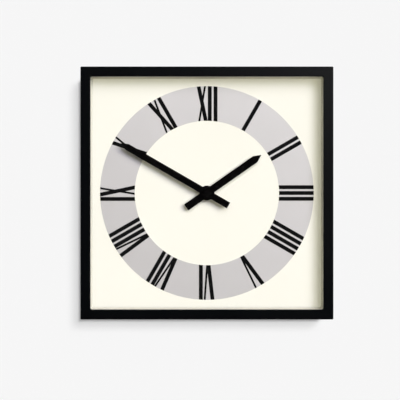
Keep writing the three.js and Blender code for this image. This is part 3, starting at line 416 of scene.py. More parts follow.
def ringLook():
    # grey print on a satin surface, with a painted sheen: its colour is painted lighter towards the upper
    # right, where the light comes from
    material, tree, shader, vector = newLook(
        "greyPrintPaintedSheen", roughness=0.65, centre=dialMiddle, Specular_IOR_Level=0.2)
    s = ringPrintAndSheen
    along = addNode(tree, "VectorMath", {0: vector, 1: s.way}, operation="DOT_PRODUCT").outputs["Value"]
    # painted sheen: the colour grows lighter towards the upper right, standing in for the light that falls
    # there
    paintedSheen = spreadValue(tree, along, 0, 1, -s.reach, s.reach)
    height, slow = skinMasks(tree, vector, s.mottle)
    share = calculate(tree, "ADD", paintedSheen, spreadValue(tree, slow, -s.speckle, s.speckle))
    feed(tree, shader, {"Base Color": mixColours(tree, share, s.dark, s.light)})
    useHeight(tree, shader, height, s.depth)
    return material


def glassLook():
    # The light of the lamps passes straight through for shadow and diffuse rays, so it is counted once.
    material, tree, shader, vector = newLook("clearGlass", roughness=0.0, Transmission_Weight=1.0, IOR=1.45)
    slow = skinMasks(tree, vector, mottle=90)[1]
    feed(tree, shader, {"Base Color": mixColours(tree, slow, (0.985, 0.995, 0.988), (0.995, 1.0, 0.996))})
    path = addNode(tree, "LightPath").outputs
    letThrough(tree, shader, calculate(tree, "MAXIMUM", path["Is Shadow Ray"], path["Is Diffuse Ray"]))
    return material


def hardboardLook():
    # pressed fibre: long pale and dark fibres, bent by noise, over a brown mottle
    material, tree, shader, vector = newLook("hardboardBrown", roughness=0.7)
    height, slow = skinMasks(tree, vector, mottle=5, grain=0.5)
    bent = addNode(tree, "TexNoise", {"Vector": vector, "Scale": 90.0, "Detail": 1.0}).outputs["Color"]
    pushed = addNode(tree, "VectorMath", {0: bent, 1: (0.004, 0.004, 0.004)}, operation="MULTIPLY")
    warped = addNode(tree, "VectorMath", {0: vector, 1: pushed.outputs[0]}, operation="ADD")
    fibres = addNode(tree, "TexVoronoi", {"Vector": warped.outputs[0], "Scale": 900.0},
                     feature="DISTANCE_TO_EDGE")
    fibreMask = spreadValue(tree, fibres.outputs["Distance"], 0.0, 1.0, 0.0, 0.12)
    board = mixColours(tree, slow, (0.165, 0.094, 0.050), (0.205, 0.120, 0.065))
    feed(tree, shader, {"Base Color": mixColours(tree, fibreMask, (0.25, 0.155, 0.09), board),
                        "Roughness": spreadValue(tree, fibreMask, 0.82, 0.6)})
    useHeight(tree, shader, height, 0.05)
    return material


def windingLook(centre, wirePitch=0.18):
    # enamelled wire laid side by side round an upright bobbin
    material, tree, shader, vector = newLook("copperWire", metallic=0.9, roughness=0.32, centre=centre)
    up = addNode(tree, "SeparateXYZ", {0: vector}).outputs["Z"]
    wire = calculate(tree, "PINGPONG", calculate(tree, "MULTIPLY", up, 1000 / wirePitch), 1.0)
    feed(tree, shader, {"Base Color": mixColours(tree, wire, (0.30, 0.09, 0.03), (0.66, 0.25, 0.10)),
                        "Roughness": spreadValue(tree, wire, 0.5, 0.28)})
    useHeight(tree, shader, wire, 0.06)
    return material


def circuitLook():
    # green lacquer over copper tracks on a square grid, with small tinned pads
    material, tree, shader, vector = newLook("greenLacquer", roughness=0.3, Coat_Weight=0.4)
    tracks = addNode(tree, "TexBrick", {
        "Vector": vector, "Color1": (0.02, 0.12, 0.045, 1), "Color2": (0.025, 0.14, 0.05, 1),
        "Mortar": (0.05, 0.24, 0.08, 1), "Scale": 420.0, "Mortar Size": 0.03}).outputs
    pads = addNode(tree, "TexVoronoi", {"Vector": vector, "Scale": 380.0})
    pad = spreadValue(tree, pads.outputs["Distance"], 1.0, 0.0, 0.12, 0.16)
    feed(tree, shader, {"Base Color": mixColours(tree, pad, tracks["Color"], (0.55, 0.56, 0.55)),
                        "Metallic": pad})
    useHeight(tree, shader, tracks["Fac"], 0.03)
    return material


# Places on the sleeve are shares of the cell's length: its own start and end, and where two bands start
sleeve = Values(start=0.03, end=0.955, zinc=(0.62, 0.62, 0.61), blue=(0.045, 0.10, 0.19),
                pale=(0.62, 0.60, 0.54), paleFrom=0.70, dark=(0.025, 0.03, 0.035), darkFrom=0.73)


def batteryLook(rear, tip):
    # a printed sleeve with a pale band near the positive end, and bare zinc beyond the sleeve
    s = sleeve
    material, tree, shader, vector = newLook("batterySleeve", roughness=0.3)
    along = spreadValue(tree, addNode(tree, "SeparateXYZ", {0: vector}).outputs["X"], 0, 1, rear, tip)
    bands = addNode(tree, "ValToRGB", {0: along})
    bands.color_ramp.interpolation = "CONSTANT"
    marks = bands.color_ramp.elements
    stops = [(0.0, s.zinc), (s.start, s.blue), (s.paleFrom, s.pale), (s.darkFrom, s.dark), (s.end, s.zinc)]
    for stop, (at, colour) in enumerate(stops):
        mark = marks[stop] if stop < 2 else marks.new(at)      # a new ramp has two marks already
        mark.position = at
        mark.color = (*colour, 1)
    bareTip = calculate(tree, "GREATER_THAN", along, s.end)
    bareRear = calculate(tree, "LESS_THAN", along, s.start)
    slow = skinMasks(tree, vector, mottle=8)[1]
    feed(tree, shader, {"Base Color": bands.outputs[0],
                        "Metallic": calculate(tree, "MAXIMUM", bareTip, bareRear),
                        "Roughness": spreadValue(tree, slow, 0.26, 0.36)})
    return material


looks = {
    "case": mouldedLook("satinBlackCase", (0.0018, 0.0022, 0.0026), (0.0026, 0.0030, 0.0035),
                        rough=(0.27, 0.36), grain=0.35, mottle=40, depth=0.004),
    "glass": glassLook(),
    "liner": mouldedLook("creamLiner", (0.72, 0.69, 0.58), (0.74, 0.71, 0.60),
                         rough=(0.5, 0.62), grain=0.5, mottle=25, depth=0.01),
    "dial": mouldedLook("creamEnamel", (0.949, 0.915, 0.816), (0.961, 0.927, 0.830),
                        rough=(0.62, 0.74), grain=0.6, mottle=60, depth=0.006, Specular_IOR_Level=0.2),
    "ring": ringLook(),
    "numeral": mouldedLook("blackPrint", (0.0038, 0.0038, 0.0039), (0.0050, 0.0050, 0.0051),
                           rough=(0.6, 0.7), grain=0.4, mottle=20, depth=0.004, Specular_IOR_Level=0.1),
    "hand": mouldedLook("mattBlackHand", (0.0017, 0.0013, 0.0013), (0.0025, 0.0020, 0.0020),
                        rough=(0.6, 0.72), grain=0.25, mottle=12, depth=0.004, Specular_IOR_Level=0.12),
    "board": hardboardLook(),
    "screw": turnedLook("zincScrew", (0.52, 0.53, 0.55), (0.66, 0.66, 0.67),
                        rough=(0.28, 0.42), pitch=0.25, depth=0.004),
    "hanger": brushedLook("zincSheet", (0.50, 0.51, 0.53), (0.62, 0.62, 0.63),
                          rough=(0.28, 0.45), spacing=0.2, depth=0.006),
    "movement": mouldedLook("mouldedBlack", (0.010, 0.010, 0.011), (0.015, 0.015, 0.016),
                            rough=(0.42, 0.58), grain=0.3, mottle=18, depth=0.02),
    "marks": mouldedLook("polishedMarks", (0.012, 0.012, 0.013), (0.017, 0.017, 0.018),
                         rough=(0.16, 0.24), grain=0.3, mottle=18, depth=0.002),
    "gasket": mouldedLook("blackRubber", (0.013, 0.013, 0.013), (0.02, 0.02, 0.02),
                          rough=(0.75, 0.9), grain=0.35, mottle=6, depth=0.02),
    "brass": turnedLook("turnedBrass", (0.66, 0.44, 0.16), (0.78, 0.55, 0.24),
                        rough=(0.22, 0.36), pitch=0.2, depth=0.006, centre=dialMiddle),
    "gear": mouldedLook("naturalAcetal", (0.78, 0.76, 0.67), (0.86, 0.84, 0.77),
                        rough=(0.38, 0.5), grain=0.4, mottle=5, depth=0.008, Subsurface_Weight=0.1),
    "knob": mouldedLook("greyKnob", (0.62, 0.60, 0.55), (0.70, 0.68, 0.62),
                        rough=(0.4, 0.52), grain=0.3, mottle=6, depth=0.012),
    "magnet": mouldedLook("sinteredMagnet", (0.06, 0.063, 0.067), (0.1, 0.103, 0.106),
                          rough=(0.45, 0.6), grain=0.2, mottle=1.5, depth=0.02, Metallic=0.7),
    "spring": brushedLook("springSteel", (0.55, 0.56, 0.57), (0.70, 0.70, 0.70),
                          rough=(0.22, 0.36), spacing=0.12, depth=0.004),
    "circuit": circuitLook(),
}

print("finishes made")


# The case: one closed profile carried round the square, from the rear rim over the front face to the cavity.
# Each corner is (half width, level, fillet, corner radius).
caseProfile = [
    (147.5, 0, 0.25, 1.2),        # rear rim
    (150, 0, 0.3, 1.2),
    (150, 45, 0.45, 1.2),         # front edge
    (138.3, 45, 0.35, 2),         # opening
    (138.3, 42.5, 0.1, 2),
    (141.3, 42.5, 0.1, 2),        # glass rib
    (141.3, 27, 0.2, 2),
    (142.8, 27, 0.2, 3.5),
    (142.8, 42.5, 0.1, 3.5),
    (147.5, 42.5, 0.3, 1.2),      # cavity wall
]
halfWidths, levels, fillets, cornerRadii = np.array(caseProfile, dtype=float).T
caseShell = sweptSquare(np.stack([halfWidths, levels], axis=1), fillets, cornerRadii, steps=5, cornerSteps=8)
makePiece("caseShell", [caseShell], "case", "case_frame")

# Each board screw goes into a boss, and a web joins the boss to the case's wall
screwBoss = Values(radius=2.8, hole=1.4, back=27, front=42.6, depth=12, edge=0.3, columns=32, web=2,
                   webStart=0.8, webBack=27.2, line=144.2, along=75, wall=147.7)


def boltPlaces():
    # two screws along each side, as quarter turns of the top side
    return [(side * screwBoss.along, screwBoss.line, quarter * 90)
            for quarter in range(4) for side in (-1, 1)]


def bossShells():
    # a turned post with a blind hole, and a block from inside the post to the wall
    s = screwBoss
    back, front, hole, radius, edge = s.back, s.front, s.hole, s.radius, s.edge
    floor = back + s.depth
    post = lathe([(0, floor), (hole, floor), (hole, back + edge), (hole + edge, back), (radius - edge, back),
                  (radius, back + edge), (radius, front), (0, front)], s.columns, closed=False)
    web = boxShell(-s.web / 2, s.web / 2, radius * s.webStart, s.wall - s.line, s.webBack, front)
    return [turnedShell(movedShell(shell, along, line), turn)
            for along, line, turn in boltPlaces() for shell in (post, web)]


makePiece("screwBosses", bossShells(), "case", "case_frame")

# The shelf that carries the hanger: a plate with a window, two gussets and two screw bosses
hangerShelf = Values(half=26, low=115.5, high=147.7, back=4.7, front=7.7, windowHalf=7.5, windowLow=119.5,
                     windowHigh=141.5, gussetLow=126.5, gussetFront=21.7, gusset=2, bossAt=(16, 131.5),
                     bossRadius=3, bossFront=11.7, bossEdge=0.3, hole=1.4, sunk=0.05, fillet=0.8, edge=0.2,
                     columns=32)


def shelfShells():
    # the plate's grid goes from the window's edge over the front, the rim and the back to the window again
    s = hangerShelf
    front, back, edge, foot = s.front, s.back, s.edge, s.back + s.sunk
    inset, outer = edgedOutlines(-s.half, s.half, s.low, s.high, s.fillet, edge)
    window, flare = edgedOutlines(-s.windowHalf - edge, s.windowHalf + edge, s.windowLow - edge,
                                  s.windowHigh + edge, s.fillet, edge)
    shells = [stacked([flare, inset, outer, outer, inset, flare, window, window],
                      [front, front, front - edge, back + edge, back, back, back + edge, front - edge])]
    hole, radius, step, top = s.hole, s.bossRadius, s.bossEdge, s.bossFront
    boss = lathe([(hole, foot), (radius, foot), (radius, top - step), (radius - step, top), (hole, top)],
                 s.columns)
    right, up = s.bossAt
    for side in (-1, 1):
        x0, x1 = sorted((side * s.half, side * (s.half - s.gusset)))
        shells.append(boxShell(x0, x1, s.gussetLow, s.high, foot, s.gussetFront))
        shells.append(movedShell(boss, side * right, up))
    return shells


makePiece("hangerShelf", shelfShells(), "case", "case_frame")

# The liner is a strip with soft corners, and the glass a pane with ground edges
liner = Values(inner=138.3, outer=141, back=28.2, front=40.1, fillet=0.15, corner=2)
linerProfile = [(liner.inner, liner.back), (liner.outer, liner.back),
                (liner.outer, liner.front), (liner.inner, liner.front)]
linerShell = sweptSquare(linerProfile, liner.fillet, liner.corner)
linerStrip = makePiece("linerStrip", [linerShell], "liner", "spacer_liner")
linerStrip.visible_diffuse = False     # its reflected light would wash out the dial's shaded edges

pane = Values(half=141, back=40.3, front=42.3, ground=0.3, corner=2)
paneRim, paneBack, paneFront = pane.half - pane.ground, pane.back, pane.front
paneHalf = np.array([0, paneRim, pane.half, pane.half, paneRim, 0])
paneLevels = [paneFront, paneFront, paneFront - pane.ground, paneBack + pane.ground, paneBack, paneBack]
paneOutlines = squareOutlines(paneHalf, paneHalf, np.minimum(paneHalf, pane.corner))
paneShell = stacked(paneOutlines, paneLevels, closedRows=False)
frontGlass = makePiece("glassPane", [paneShell], "glass", "front_glass")
print("case, liner and glass made")


dial = Values(half=141, corner=2, bore=4.3, back=27, front=28, edge=0.15, sideSteps=24, ringInner=87.3,
              ringOuter=129.2, ringRise=0.12, ringSunk=0.1, ringColumns=256, numeralRise=0.24,
              numeralBed=0.05)


def dialShell():
    # sheet metal: each row is the bore or the square outline, sampled in the same directions
    edge, half, front, back = dial.edge, dial.half, dial.front, dial.back
    halves = [half - edge, half, half, half - edge]
    outlines = squareOutlines(halves, halves, dial.corner, sideSteps=dial.sideSteps)
    bore = outlines[1] / np.linalg.norm(outlines[1], axis=1, keepdims=True) * dial.bore
    return stacked([bore, *outlines, bore], [front, front, front - edge, back + edge, back, back])


makePiece("dialPlate", [dialShell()], "dial", "dial_plate", sharpAngle=50)

ringBed, ringTop = dial.front - dial.ringSunk, dial.front + dial.ringRise
ringShell = lathe([(dial.ringInner, ringBed), (dial.ringOuter, ringBed), (dial.ringOuter, ringTop),
                   (dial.ringInner, ringTop)], dial.ringColumns)
makePiece("chapterRing", [ringShell], "ring", "dial_plate")

# Roman numerals: each stroke is (kind, place at the ring's inner edge, place at its outer edge), and each
# glyph in a numeral stands some way clockwise from its hour's own line. A thin stroke lies a little lower,
# so that crossing strokes share no face.
strokeSizes = {"wide": 4.7, "thin": 2.4, "thinDrop": 0.01, "columns": 7}
strokes = {
    "I": [("wide", 0, 0)],
    "V": [("wide", 1.1, -3.65), ("thin", 2.9, 5.9)],
    "X": [("wide", 4.4, -4.4), ("thin", -3.4, 3.4)],
}
numerals = {
    1: [("I", 0)],
    2: [("I", -3.5), ("I", 3.5)],
    3: [("I", -7), ("I", 0), ("I", 7)],
    4: [("I", -10.5), ("I", -3.5), ("I", 3.5), ("I", 10.5)],
    5: [("V", 0)],
    6: [("V", -3.2), ("I", 7.3)],
    7: [("V", -7.9), ("I", 1.8), ("I", 8.8)],
    8: [("V", -9.9), ("I", -0.2), ("I", 6.8), ("I", 13.8)],
    9: [("I", -7.2), ("X", 2.4)],
    10: [("X", 0)],
    11: [("X", -2.1), ("I", 7)],
    12: [("X", -5.7), ("I", 3.45), ("I", 10.45)],
}


def strokeShell(kind, inner, outer, offset):
    # A stroke is a leaning band that ends on the ring's two circles. A line at sideways place a + s h, where
    # h is its height on the numeral's axis, meets a circle of radius R at
    # h = (sqrt(a^2 s^2 - (1 + s^2)(a^2 - R^2)) - a s) / (1 + s^2).
    half = strokeSizes[kind] / 2
    slope = (outer - inner) / (dial.ringOuter - dial.ringInner)
    start = offset + inner - slope * dial.ringInner + np.linspace(-half, half, strokeSizes["columns"])

    def onCircle(radius):
        root = (start * slope) ** 2 - (1 + slope ** 2) * (start ** 2 - radius ** 2)
        height = (np.sqrt(root) - start * slope) / (1 + slope ** 2)
        return np.stack([start + slope * height, height], axis=1)

    top = dial.front + dial.numeralRise - (strokeSizes["thinDrop"] if kind == "thin" else 0)
    return bandShell(onCircle(dial.ringInner), onCircle(dial.ringOuter), top, dial.front + dial.numeralBed)


def numeralShells():
    # each stroke of each glyph, turned by thirty degrees for every hour
    return [turnedShell(strokeShell(*stroke, offset), 30 * hour)
            for hour, glyphs in numerals.items()
            for glyph, offset in glyphs
            for stroke in strokes[glyph]]


makePiece("romanNumerals", numeralShells(), "numeral", "dial_plate")
print("dial made")


hands = {
    "hour": Values(width=8.85, shoulder=70.9, tip=79.9, tail=30.3, hub=8.9, bore=2.62, back=32.7, turn=55),
    "minute": Values(width=8.0, shoulder=110.5, tip=119.0, tail=29.9, hub=8.4, bore=1.72, back=35.1,
                     turn=300),
}
handSheet = Values(thickness=0.6, edge=0.13, edgeSteps=4, directions=192, collar=0.7, collarWall=1.0,
                   collarSunk=0.1, collarColumns=48)
nearZero = 1e-9


def handDirections(s):
    # even directions about the hub, and among them the own direction of each of the outline's corners
    half = s.width / 2
    meet = np.sqrt(s.hub ** 2 - half ** 2)          # height at which the blade's side meets the hub
    corners = [(half, -s.tail), (-half, -s.tail), (half, s.shoulder), (0, s.tip),
               (-half, s.shoulder), (half, meet), (half, -meet), (-half, meet), (-half, -meet)]
    cornerAngles = np.arctan2([y for x, y in corners], [x for x, y in corners])
    evenly = np.linspace(-pi, pi, handSheet.directions, endpoint=False)
    return circlePoints(np.unique(np.round(np.concatenate([evenly, cornerAngles]), 9)))


def handOutline(s, direction, inset):
    # In each direction the outline is at the nearest of the blade's edge lines, or at the round hub where
    # that is further out. A line is its distance / the cosine between the direction and its normal away.
    half, rise = s.width / 2, s.tip - s.shoulder
    slant = np.array([rise, half]) / np.hypot(rise, half)
    normals = np.array([(1, 0), (-1, 0), (0, -1), slant, slant * (-1, 1)])
    distances = np.array([half, half, s.tail, slant[1] * s.tip, slant[1] * s.tip]) - inset
    facing = direction @ normals.T
    blade = np.where(facing > nearZero, distances / np.maximum(facing, nearZero), np.inf).min(axis=1)
    return direction * np.maximum(blade, s.hub - inset)[:, None]


def handShells(s):
    # a sheet whose two edges are quarter circles, from the bore over the front and the rim to the back, and
    # a collar behind it
    edge, back, bore = handSheet.edge, s.back, s.bore
    front = back + handSheet.thickness
    direction = handDirections(s)
    quarter = np.linspace(0, pi / 2, handSheet.edgeSteps)
    insets = np.concatenate([edge * (1 - np.sin(quarter)), edge * (1 - np.cos(quarter))])
    levels = np.concatenate([front - edge * (1 - np.cos(quarter)), back + edge * (1 - np.sin(quarter))])
    rows = [handOutline(s, direction, inset) for inset in insets]
    blade = stacked([direction * bore, *rows, direction * bore], [front, *levels, back])
    wall = bore + handSheet.collarWall
    foot, top = back - handSheet.collar, back + handSheet.collarSunk
    collar = lathe([(bore, foot), (wall, foot), (wall, top), (bore, top)], handSheet.collarColumns)
    return [turnedShell(blade, s.turn), collar]


for name, s in hands.items():
    makePiece(f"{name}Hand", handShells(s), "hand", f"{name}_hand", body=f"{name}_hand", sharpAngle=60)

cap = Values(radius=5.55, back=35.9, rim=1.1, dome=1.1, bore=1.37, boreFront=37.5, edge=0.15, domeSteps=12,
             columns=96)


def capShell():
    # a short rim, then a dome that is a quarter of an ellipse
    angle = np.linspace(0, pi / 2, cap.domeSteps)
    rim = cap.back + cap.rim
    dome = np.stack([cap.radius * np.cos(angle), rim + cap.dome * np.sin(angle)], axis=1)
    foot = [(0, cap.boreFront), (cap.bore, cap.boreFront), (cap.bore, cap.back),
            (cap.radius - cap.edge, cap.back), (cap.radius, cap.back + cap.edge)]
    return lathe(np.concatenate([foot, dome]), cap.columns, closed=False)


makePiece("handCap", [capShell()], "hand", "hand_cap", body="minute_hand")

nut = Values(flats=11, bore=4.2, back=28.9, front=31.1, chamfer=0.55, chamferSteps=4, columns=144)


def nutShell():
    # A hexagon's edge is at half its flats / the cosine of the angle from the nearest flat's middle. At both
    # ends a 30 degree cone cuts its corners back.
    angle = evenAngles(nut.columns)
    hexagon = nut.flats / 2 / np.cos((angle + pi / 6) % (pi / 3) - pi / 6)
    rise = np.linspace(0, nut.chamfer, nut.chamferSteps)
    back, front = nut.back, nut.front
    levels = np.concatenate([[back], back + rise, front - rise[::-1], [front]])
    cone = nut.flats / 2 + rise * np.sqrt(3)
    limits = np.concatenate([cone, cone[::-1]])
    bore = np.full_like(angle, nut.bore)
    radii = np.stack([bore, *np.minimum(hexagon, limits[:, None]), bore])
    return stacked(radii[..., None] * circlePoints(angle), levels)


makePiece("hexNut", [nutShell()], "brass", "hex_nut", sharpAngle=25)
print("hands and nut made")


# A pan head screw. Rings are (first radius, last radius, count): fine ones for the recess, then the brim's.
screw = Values(radius=2.5, height=1.8, domeDrop=0.45, brimDrop=0.75, edge=0.1, shank=1.2, point=0.25,
               pointLength=1.2, crossHalf=0.35, crossReach=1.5, crossDepth=0.9, crossTaper=0.35,
               recessRings=(0, 1.8, 19), brimRings=(1.9, 2.35, 4), columns=64)
boardScrew = {"seat": 23.6, "length": 12}
hangerScrew = {"seat": 2.8, "length": 7}


def screwShell(seat, length):
    # The head faces the wall. It is a low dome that falls off with the cube of the radius, and inside two
    # crossed bars it drops to the recess floor, which is deeper towards the middle. Then come the brim, the
    # shank and its point.
    s = screw
    circle = circlePoints(evenAngles(s.columns))
    radius = np.concatenate([np.linspace(*s.recessRings), np.linspace(*s.brimRings)])
    points = radius[:, None, None] * circle
    top, edge, end = seat - s.height, s.edge, seat + length
    dome = top + s.domeDrop * (radius / s.radius) ** 3
    x, y = np.abs(points[..., 0]), np.abs(points[..., 1])
    inCross = ((x < s.crossHalf) & (y < s.crossReach)) | ((y < s.crossHalf) & (x < s.crossReach))
    depth = s.crossDepth * (1 - s.crossTaper * radius[:, None] / s.crossReach)
    headLevels = dome[:, None] + np.where(inCross, depth, 0)
    rim = [(s.radius, top + s.brimDrop), (s.radius, seat - edge), (s.radius - edge, seat),
           (s.shank, seat), (s.shank, end - s.pointLength), (s.point, end), (0, end)]
    rimRadius, rimLevels = np.array(rim).T
    rings = np.concatenate([points, rimRadius[:, None, None] * circle])
    heights = np.concatenate([headLevels, np.broadcast_to(rimLevels[:, None], (len(rim), s.columns))])
    grid = np.concatenate([rings, heights[..., None]], axis=-1).reshape(-1, 3)
    return grid, gridFaces(*heights.shape, False, True)


for number, (along, line, turn) in enumerate(boltPlaces(), 1):
    shell = turnedShell(movedShell(screwShell(**boardScrew), along, line), -turn)
    makePiece(f"boardScrew{number}", [shell], "screw", f"board_screw_{number}", sharpAngle=35)
for number, side in enumerate((-1, 1), 1):
    right, up = hangerShelf.bossAt
    shell = movedShell(screwShell(**hangerScrew), side * right, up)
    makePiece(f"hangerScrew{number}", [shell], "screw", f"hanger_screw_{number}", sharpAngle=35)

knob = Values(place=(-7.98636, 6.01815), radius=6.3, flutes=18, fluteDepth=0.3, fluteSteps=10, back=3.2,
              front=6.2, edge=0.3, edgeMiddle=0.09, dish=3.8, dishDepth=0.6, dishRun=0.2, dishDrop=0.15,
              shaft=1.5, shaftFront=14.2, spigot=0.8, spigotFront=16.4)


def knobShell():
    # each ring's radius is its own plus its share of the flute depth times the cosine of eighteen times the
    # angle, and only the rim's rings are fluted
    s = knob
    back, front, radius, edge, dish = s.back, s.front, s.radius, s.edge, s.dish
    run, drop, cut, floor = s.dishRun, s.dishDrop, s.edgeMiddle, s.back + s.dishDepth
    angle = evenAngles(s.flutes * s.fluteSteps)
    profile = np.array([                               # radius, level and share of the flutes
        (0, floor, 0), (dish - run, floor, 0), (dish, floor - drop, 0), (dish, back + drop, 0),
        (dish + run, back, 0), (radius - edge, back, 1), (radius - cut, back + cut, 1),
        (radius, back + edge, 1), (radius, front - edge, 1), (radius - edge, front, 1),
        (s.shaft, front, 0), (s.shaft, s.shaftFront, 0), (s.spigot, s.shaftFront, 0),
        (s.spigot, s.spigotFront, 0), (0, s.spigotFront, 0)])
    radii = profile[:, 0, None] + profile[:, 2, None] * s.fluteDepth * np.cos(s.flutes * angle)
    return stacked(radii[..., None] * circlePoints(angle), profile[:, 1], closedRows=False)


makePiece("settingKnob", [movedShell(knobShell(), *knob.place)], "knob", "setting_knob",
          body="setting_knob", sharpAngle=35)
print("screws and knob made")

softCopy("hangerPlate", "hanger_plate", "hanger", bevel=0.15)
softCopy("movementHousing", "movement_housing", "movement", bevel=0.12)
softCopy("movementCover", "movement_cover", "movement", bevel=0.12)

# Marks moulded on the movement's cover: a collar round the knob, two arrows that show which way it is
# turned, and plus and minus for the battery
coverMarks = Values(rise=0.3, sunk=0.05, collarInner=7.4, collarOuter=8.1, collarEdge=0.1, collarColumns=96,
                    arrowRadius=10.2, arrowWidth=1.0, headWidth=2.6, headAngle=15, tipWidth=0.04,
                    arrowAngles=(-40, 40), arrowSteps=16, signAt=(22, -7.8), signLength=4.0, signWidth=1.0,
                    signFillet=0.2, signEdge=0.08, signOverlap=0.01)


def arrowShell(top, bed):
    # an arc about the origin whose width swells to the head and then shrinks to the tip
    s = coverMarks
    start, tip = np.radians(s.arrowAngles)
    neck = tip - radians(s.headAngle)
    angle = np.concatenate([np.linspace(start, neck, s.arrowSteps), [neck, tip]])
    widths = np.concatenate([np.full(s.arrowSteps, s.arrowWidth), [s.headWidth, s.tipWidth]])
    inner, outer = (circlePoints(angle) * (s.arrowRadius + side * widths / 2)[:, None] for side in (-1, 1))
    return bandShell(inner, outer, top, bed)


def coverMarkShells():
    # a collar with soft edges, two arcs, two level bars, and above and below one of them a short upright
    s = coverMarks
    rear = -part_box("movement_cover")[1].y * 1000
    top, bed, soft = rear - s.rise, rear + s.sunk, s.collarEdge
    inner, outer = s.collarInner, s.collarOuter
    collar = lathe([(inner, bed), (outer, bed), (outer, top + soft), (outer - soft, top), (inner + soft, top),
                    (inner, top + soft)], s.collarColumns)
    arrow = arrowShell(top, bed)
    shells = [movedShell(shell, *knob.place)
              for shell in (collar, turnedShell(arrow, 90), turnedShell(arrow, -90))]
    long, wide, (right, up) = s.signLength / 2, s.signWidth / 2, s.signAt
    near = wide - s.signOverlap
    bars = [(-right - long, -right + long, -wide, wide), (right - long, right + long, -wide, wide),
            (right - wide, right + wide, -long, -near), (right - wide, right + wide, near, long)]
    for x0, x1, low, high in bars:
        shells.append(boxShell(x0, x1, up + low, up + high, top, bed, s.signFillet, s.signEdge))
    return shells


makePiece("coverMarks", coverMarkShells(), "marks", "movement_cover")


cell = Values(radius=7.2, level=13.6, up=-19.1, edge=0.4, rim=1.3, rimSlope=0.3, rimSunk=0.15, band=1.2,
              bandStep=0.1, sleeveSunk=0.05, capHeight=1, capFlat=1.1, crimp=0.25, nub=2.7, nubFlare=0.4,
              nubEdge=0.25, columns=72)
cellLow, cellHigh = (corner * 1000 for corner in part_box("battery"))


def cellShell():
    # an AA cell turned about its length: rolled rims at both ends, and the nub at the positive one
    s = cell
    rear, tip, r, edge, nub = cellLow.x, cellHigh.x, s.radius, s.edge, s.nub
    front, band = tip - s.capHeight, s.band
    printed, step = r - s.sleeveSunk, s.band + s.bandStep
    pressed = front - s.crimp
    profile = [
        (0, rear + s.rimSunk), (r - s.rim - s.rimSlope, rear + s.rimSunk), (r - s.rim, rear),
        (r - edge, rear), (r, rear + edge), (r, rear + band), (printed, rear + step), (printed, front - step),
        (r, front - band), (r, front - edge), (r - edge, front), (r - s.capFlat, front),
        (r - s.rim, pressed), (nub + s.nubFlare, pressed), (nub, front), (nub, tip - s.nubEdge),
        (nub - s.nubEdge, tip), (0, tip)]
    points, faces = lathe(profile, s.columns, closed=False)
    return np.stack([points[:, 2], points[:, 0] + s.up, points[:, 1] + s.level], axis=1), faces


looks["battery"] = batteryLook(cellLow.x / 1000, cellHigh.x / 1000)
makePiece("batteryCell", [cellShell()], "battery", "battery", sharpAngle=30)

# CAD nodes that keep their own mesh
windingLow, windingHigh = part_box("coil_winding")
looks["winding"] = windingLook((windingLow + windingHigh) / 2)
nodeLooks = {
    "board": ["backing_board"],
    "gasket": ["movement_gasket"],
    "brass": ["dial_washer", "minute_arbor"],
    "gear": ["mid_plate", "hour_wheel", "minute_wheel", "centre_wheel", "third_wheel", "seconds_wheel",
             "intermediate_wheel", "rotor_shaft", "coil_bobbin"],
    "magnet": ["rotor_magnet"],
    "hanger": ["stator_plate", "coil_core", "quartz_crystal"],
    "circuit": ["circuit_board"],
    "spring": ["contact_positive", "contact_negative"],
    "winding": ["coil_winding"],
}
for look, nodes in nodeLooks.items():
    for node in nodes:
        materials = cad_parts[node].data.materials
        materials.clear()
        materials.append(looks[look])
print("movement dressed")


# Room: a pale wall behind the clock, whose back face lets the rear of the clock be seen, and a pale floor
room = Values(colour=(0.922, 0.922, 0.922), wallGap=0.0003, size=4.0, floor=-1.35)


def roomPlane(name, corners, material):
    mesh = bpy.data.meshes.new(name)
    mesh.from_pydata(corners, [], [(0, 1, 2, 3)])
    mesh.materials.append(material)
    plane = bpy.data.objects.new(name, mesh)
    bpy.context.scene.collection.objects.link(plane)
    plane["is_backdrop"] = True
    plane.visible_diffuse = plane.visible_glossy = False       # it adds nothing to the light on the clock
    return plane


def paleLook(name):
    material, tree, shader = newLook(name, roughness=1.0, Specular_IOR_Level=0.0)[:3]
    feed(tree, shader, {"Base Color": (*room.colour, 1)})
    return material, tree, shader


size, gap, low = room.size, room.wallGap, room.floor
wallMaterial, wallTree, wallShader = paleLook("paleWall")
letThrough(wallTree, wallShader, addNode(wallTree, "NewGeometry").outputs["Backfacing"])
wall = roomPlane("wall", [(-size, gap, low), (size, gap, low), (size, gap, size), (-size, gap, size)],
                 wallMaterial)
wall.visible_shadow = False
floor = roomPlane("floor", [(-size, -size, low), (size, -size, low), (size, gap, low), (-size, gap, low)],
                  paleLook("paleFloor")[0])


# Lamps: each share is the part of its level that reaches a surface square to the clock's axis, or for the
# floor a level one. The clock and the wall have their own lamps, and no lamp is mirrored. On the dial the
# hands cast longer shadows than the case does for their height, so two of the lamps are shaded by the hands
# alone, and one by all but the hands. The liner has one more lamp of its own.
level = {"clock": 1.14, "dial": 1.14, "liner": 1.0, "wall": 0.99, "floor": 0.9}
tints = {"white": (1, 1, 1), "shade": (1, 1, 0.8), "key": (1, 1, 1.15)}
lampDistance = 3


def lampGroup(name, members):
    group = bpy.data.collections.new(name)
    for member in members:
        group.objects.link(member)
    return group


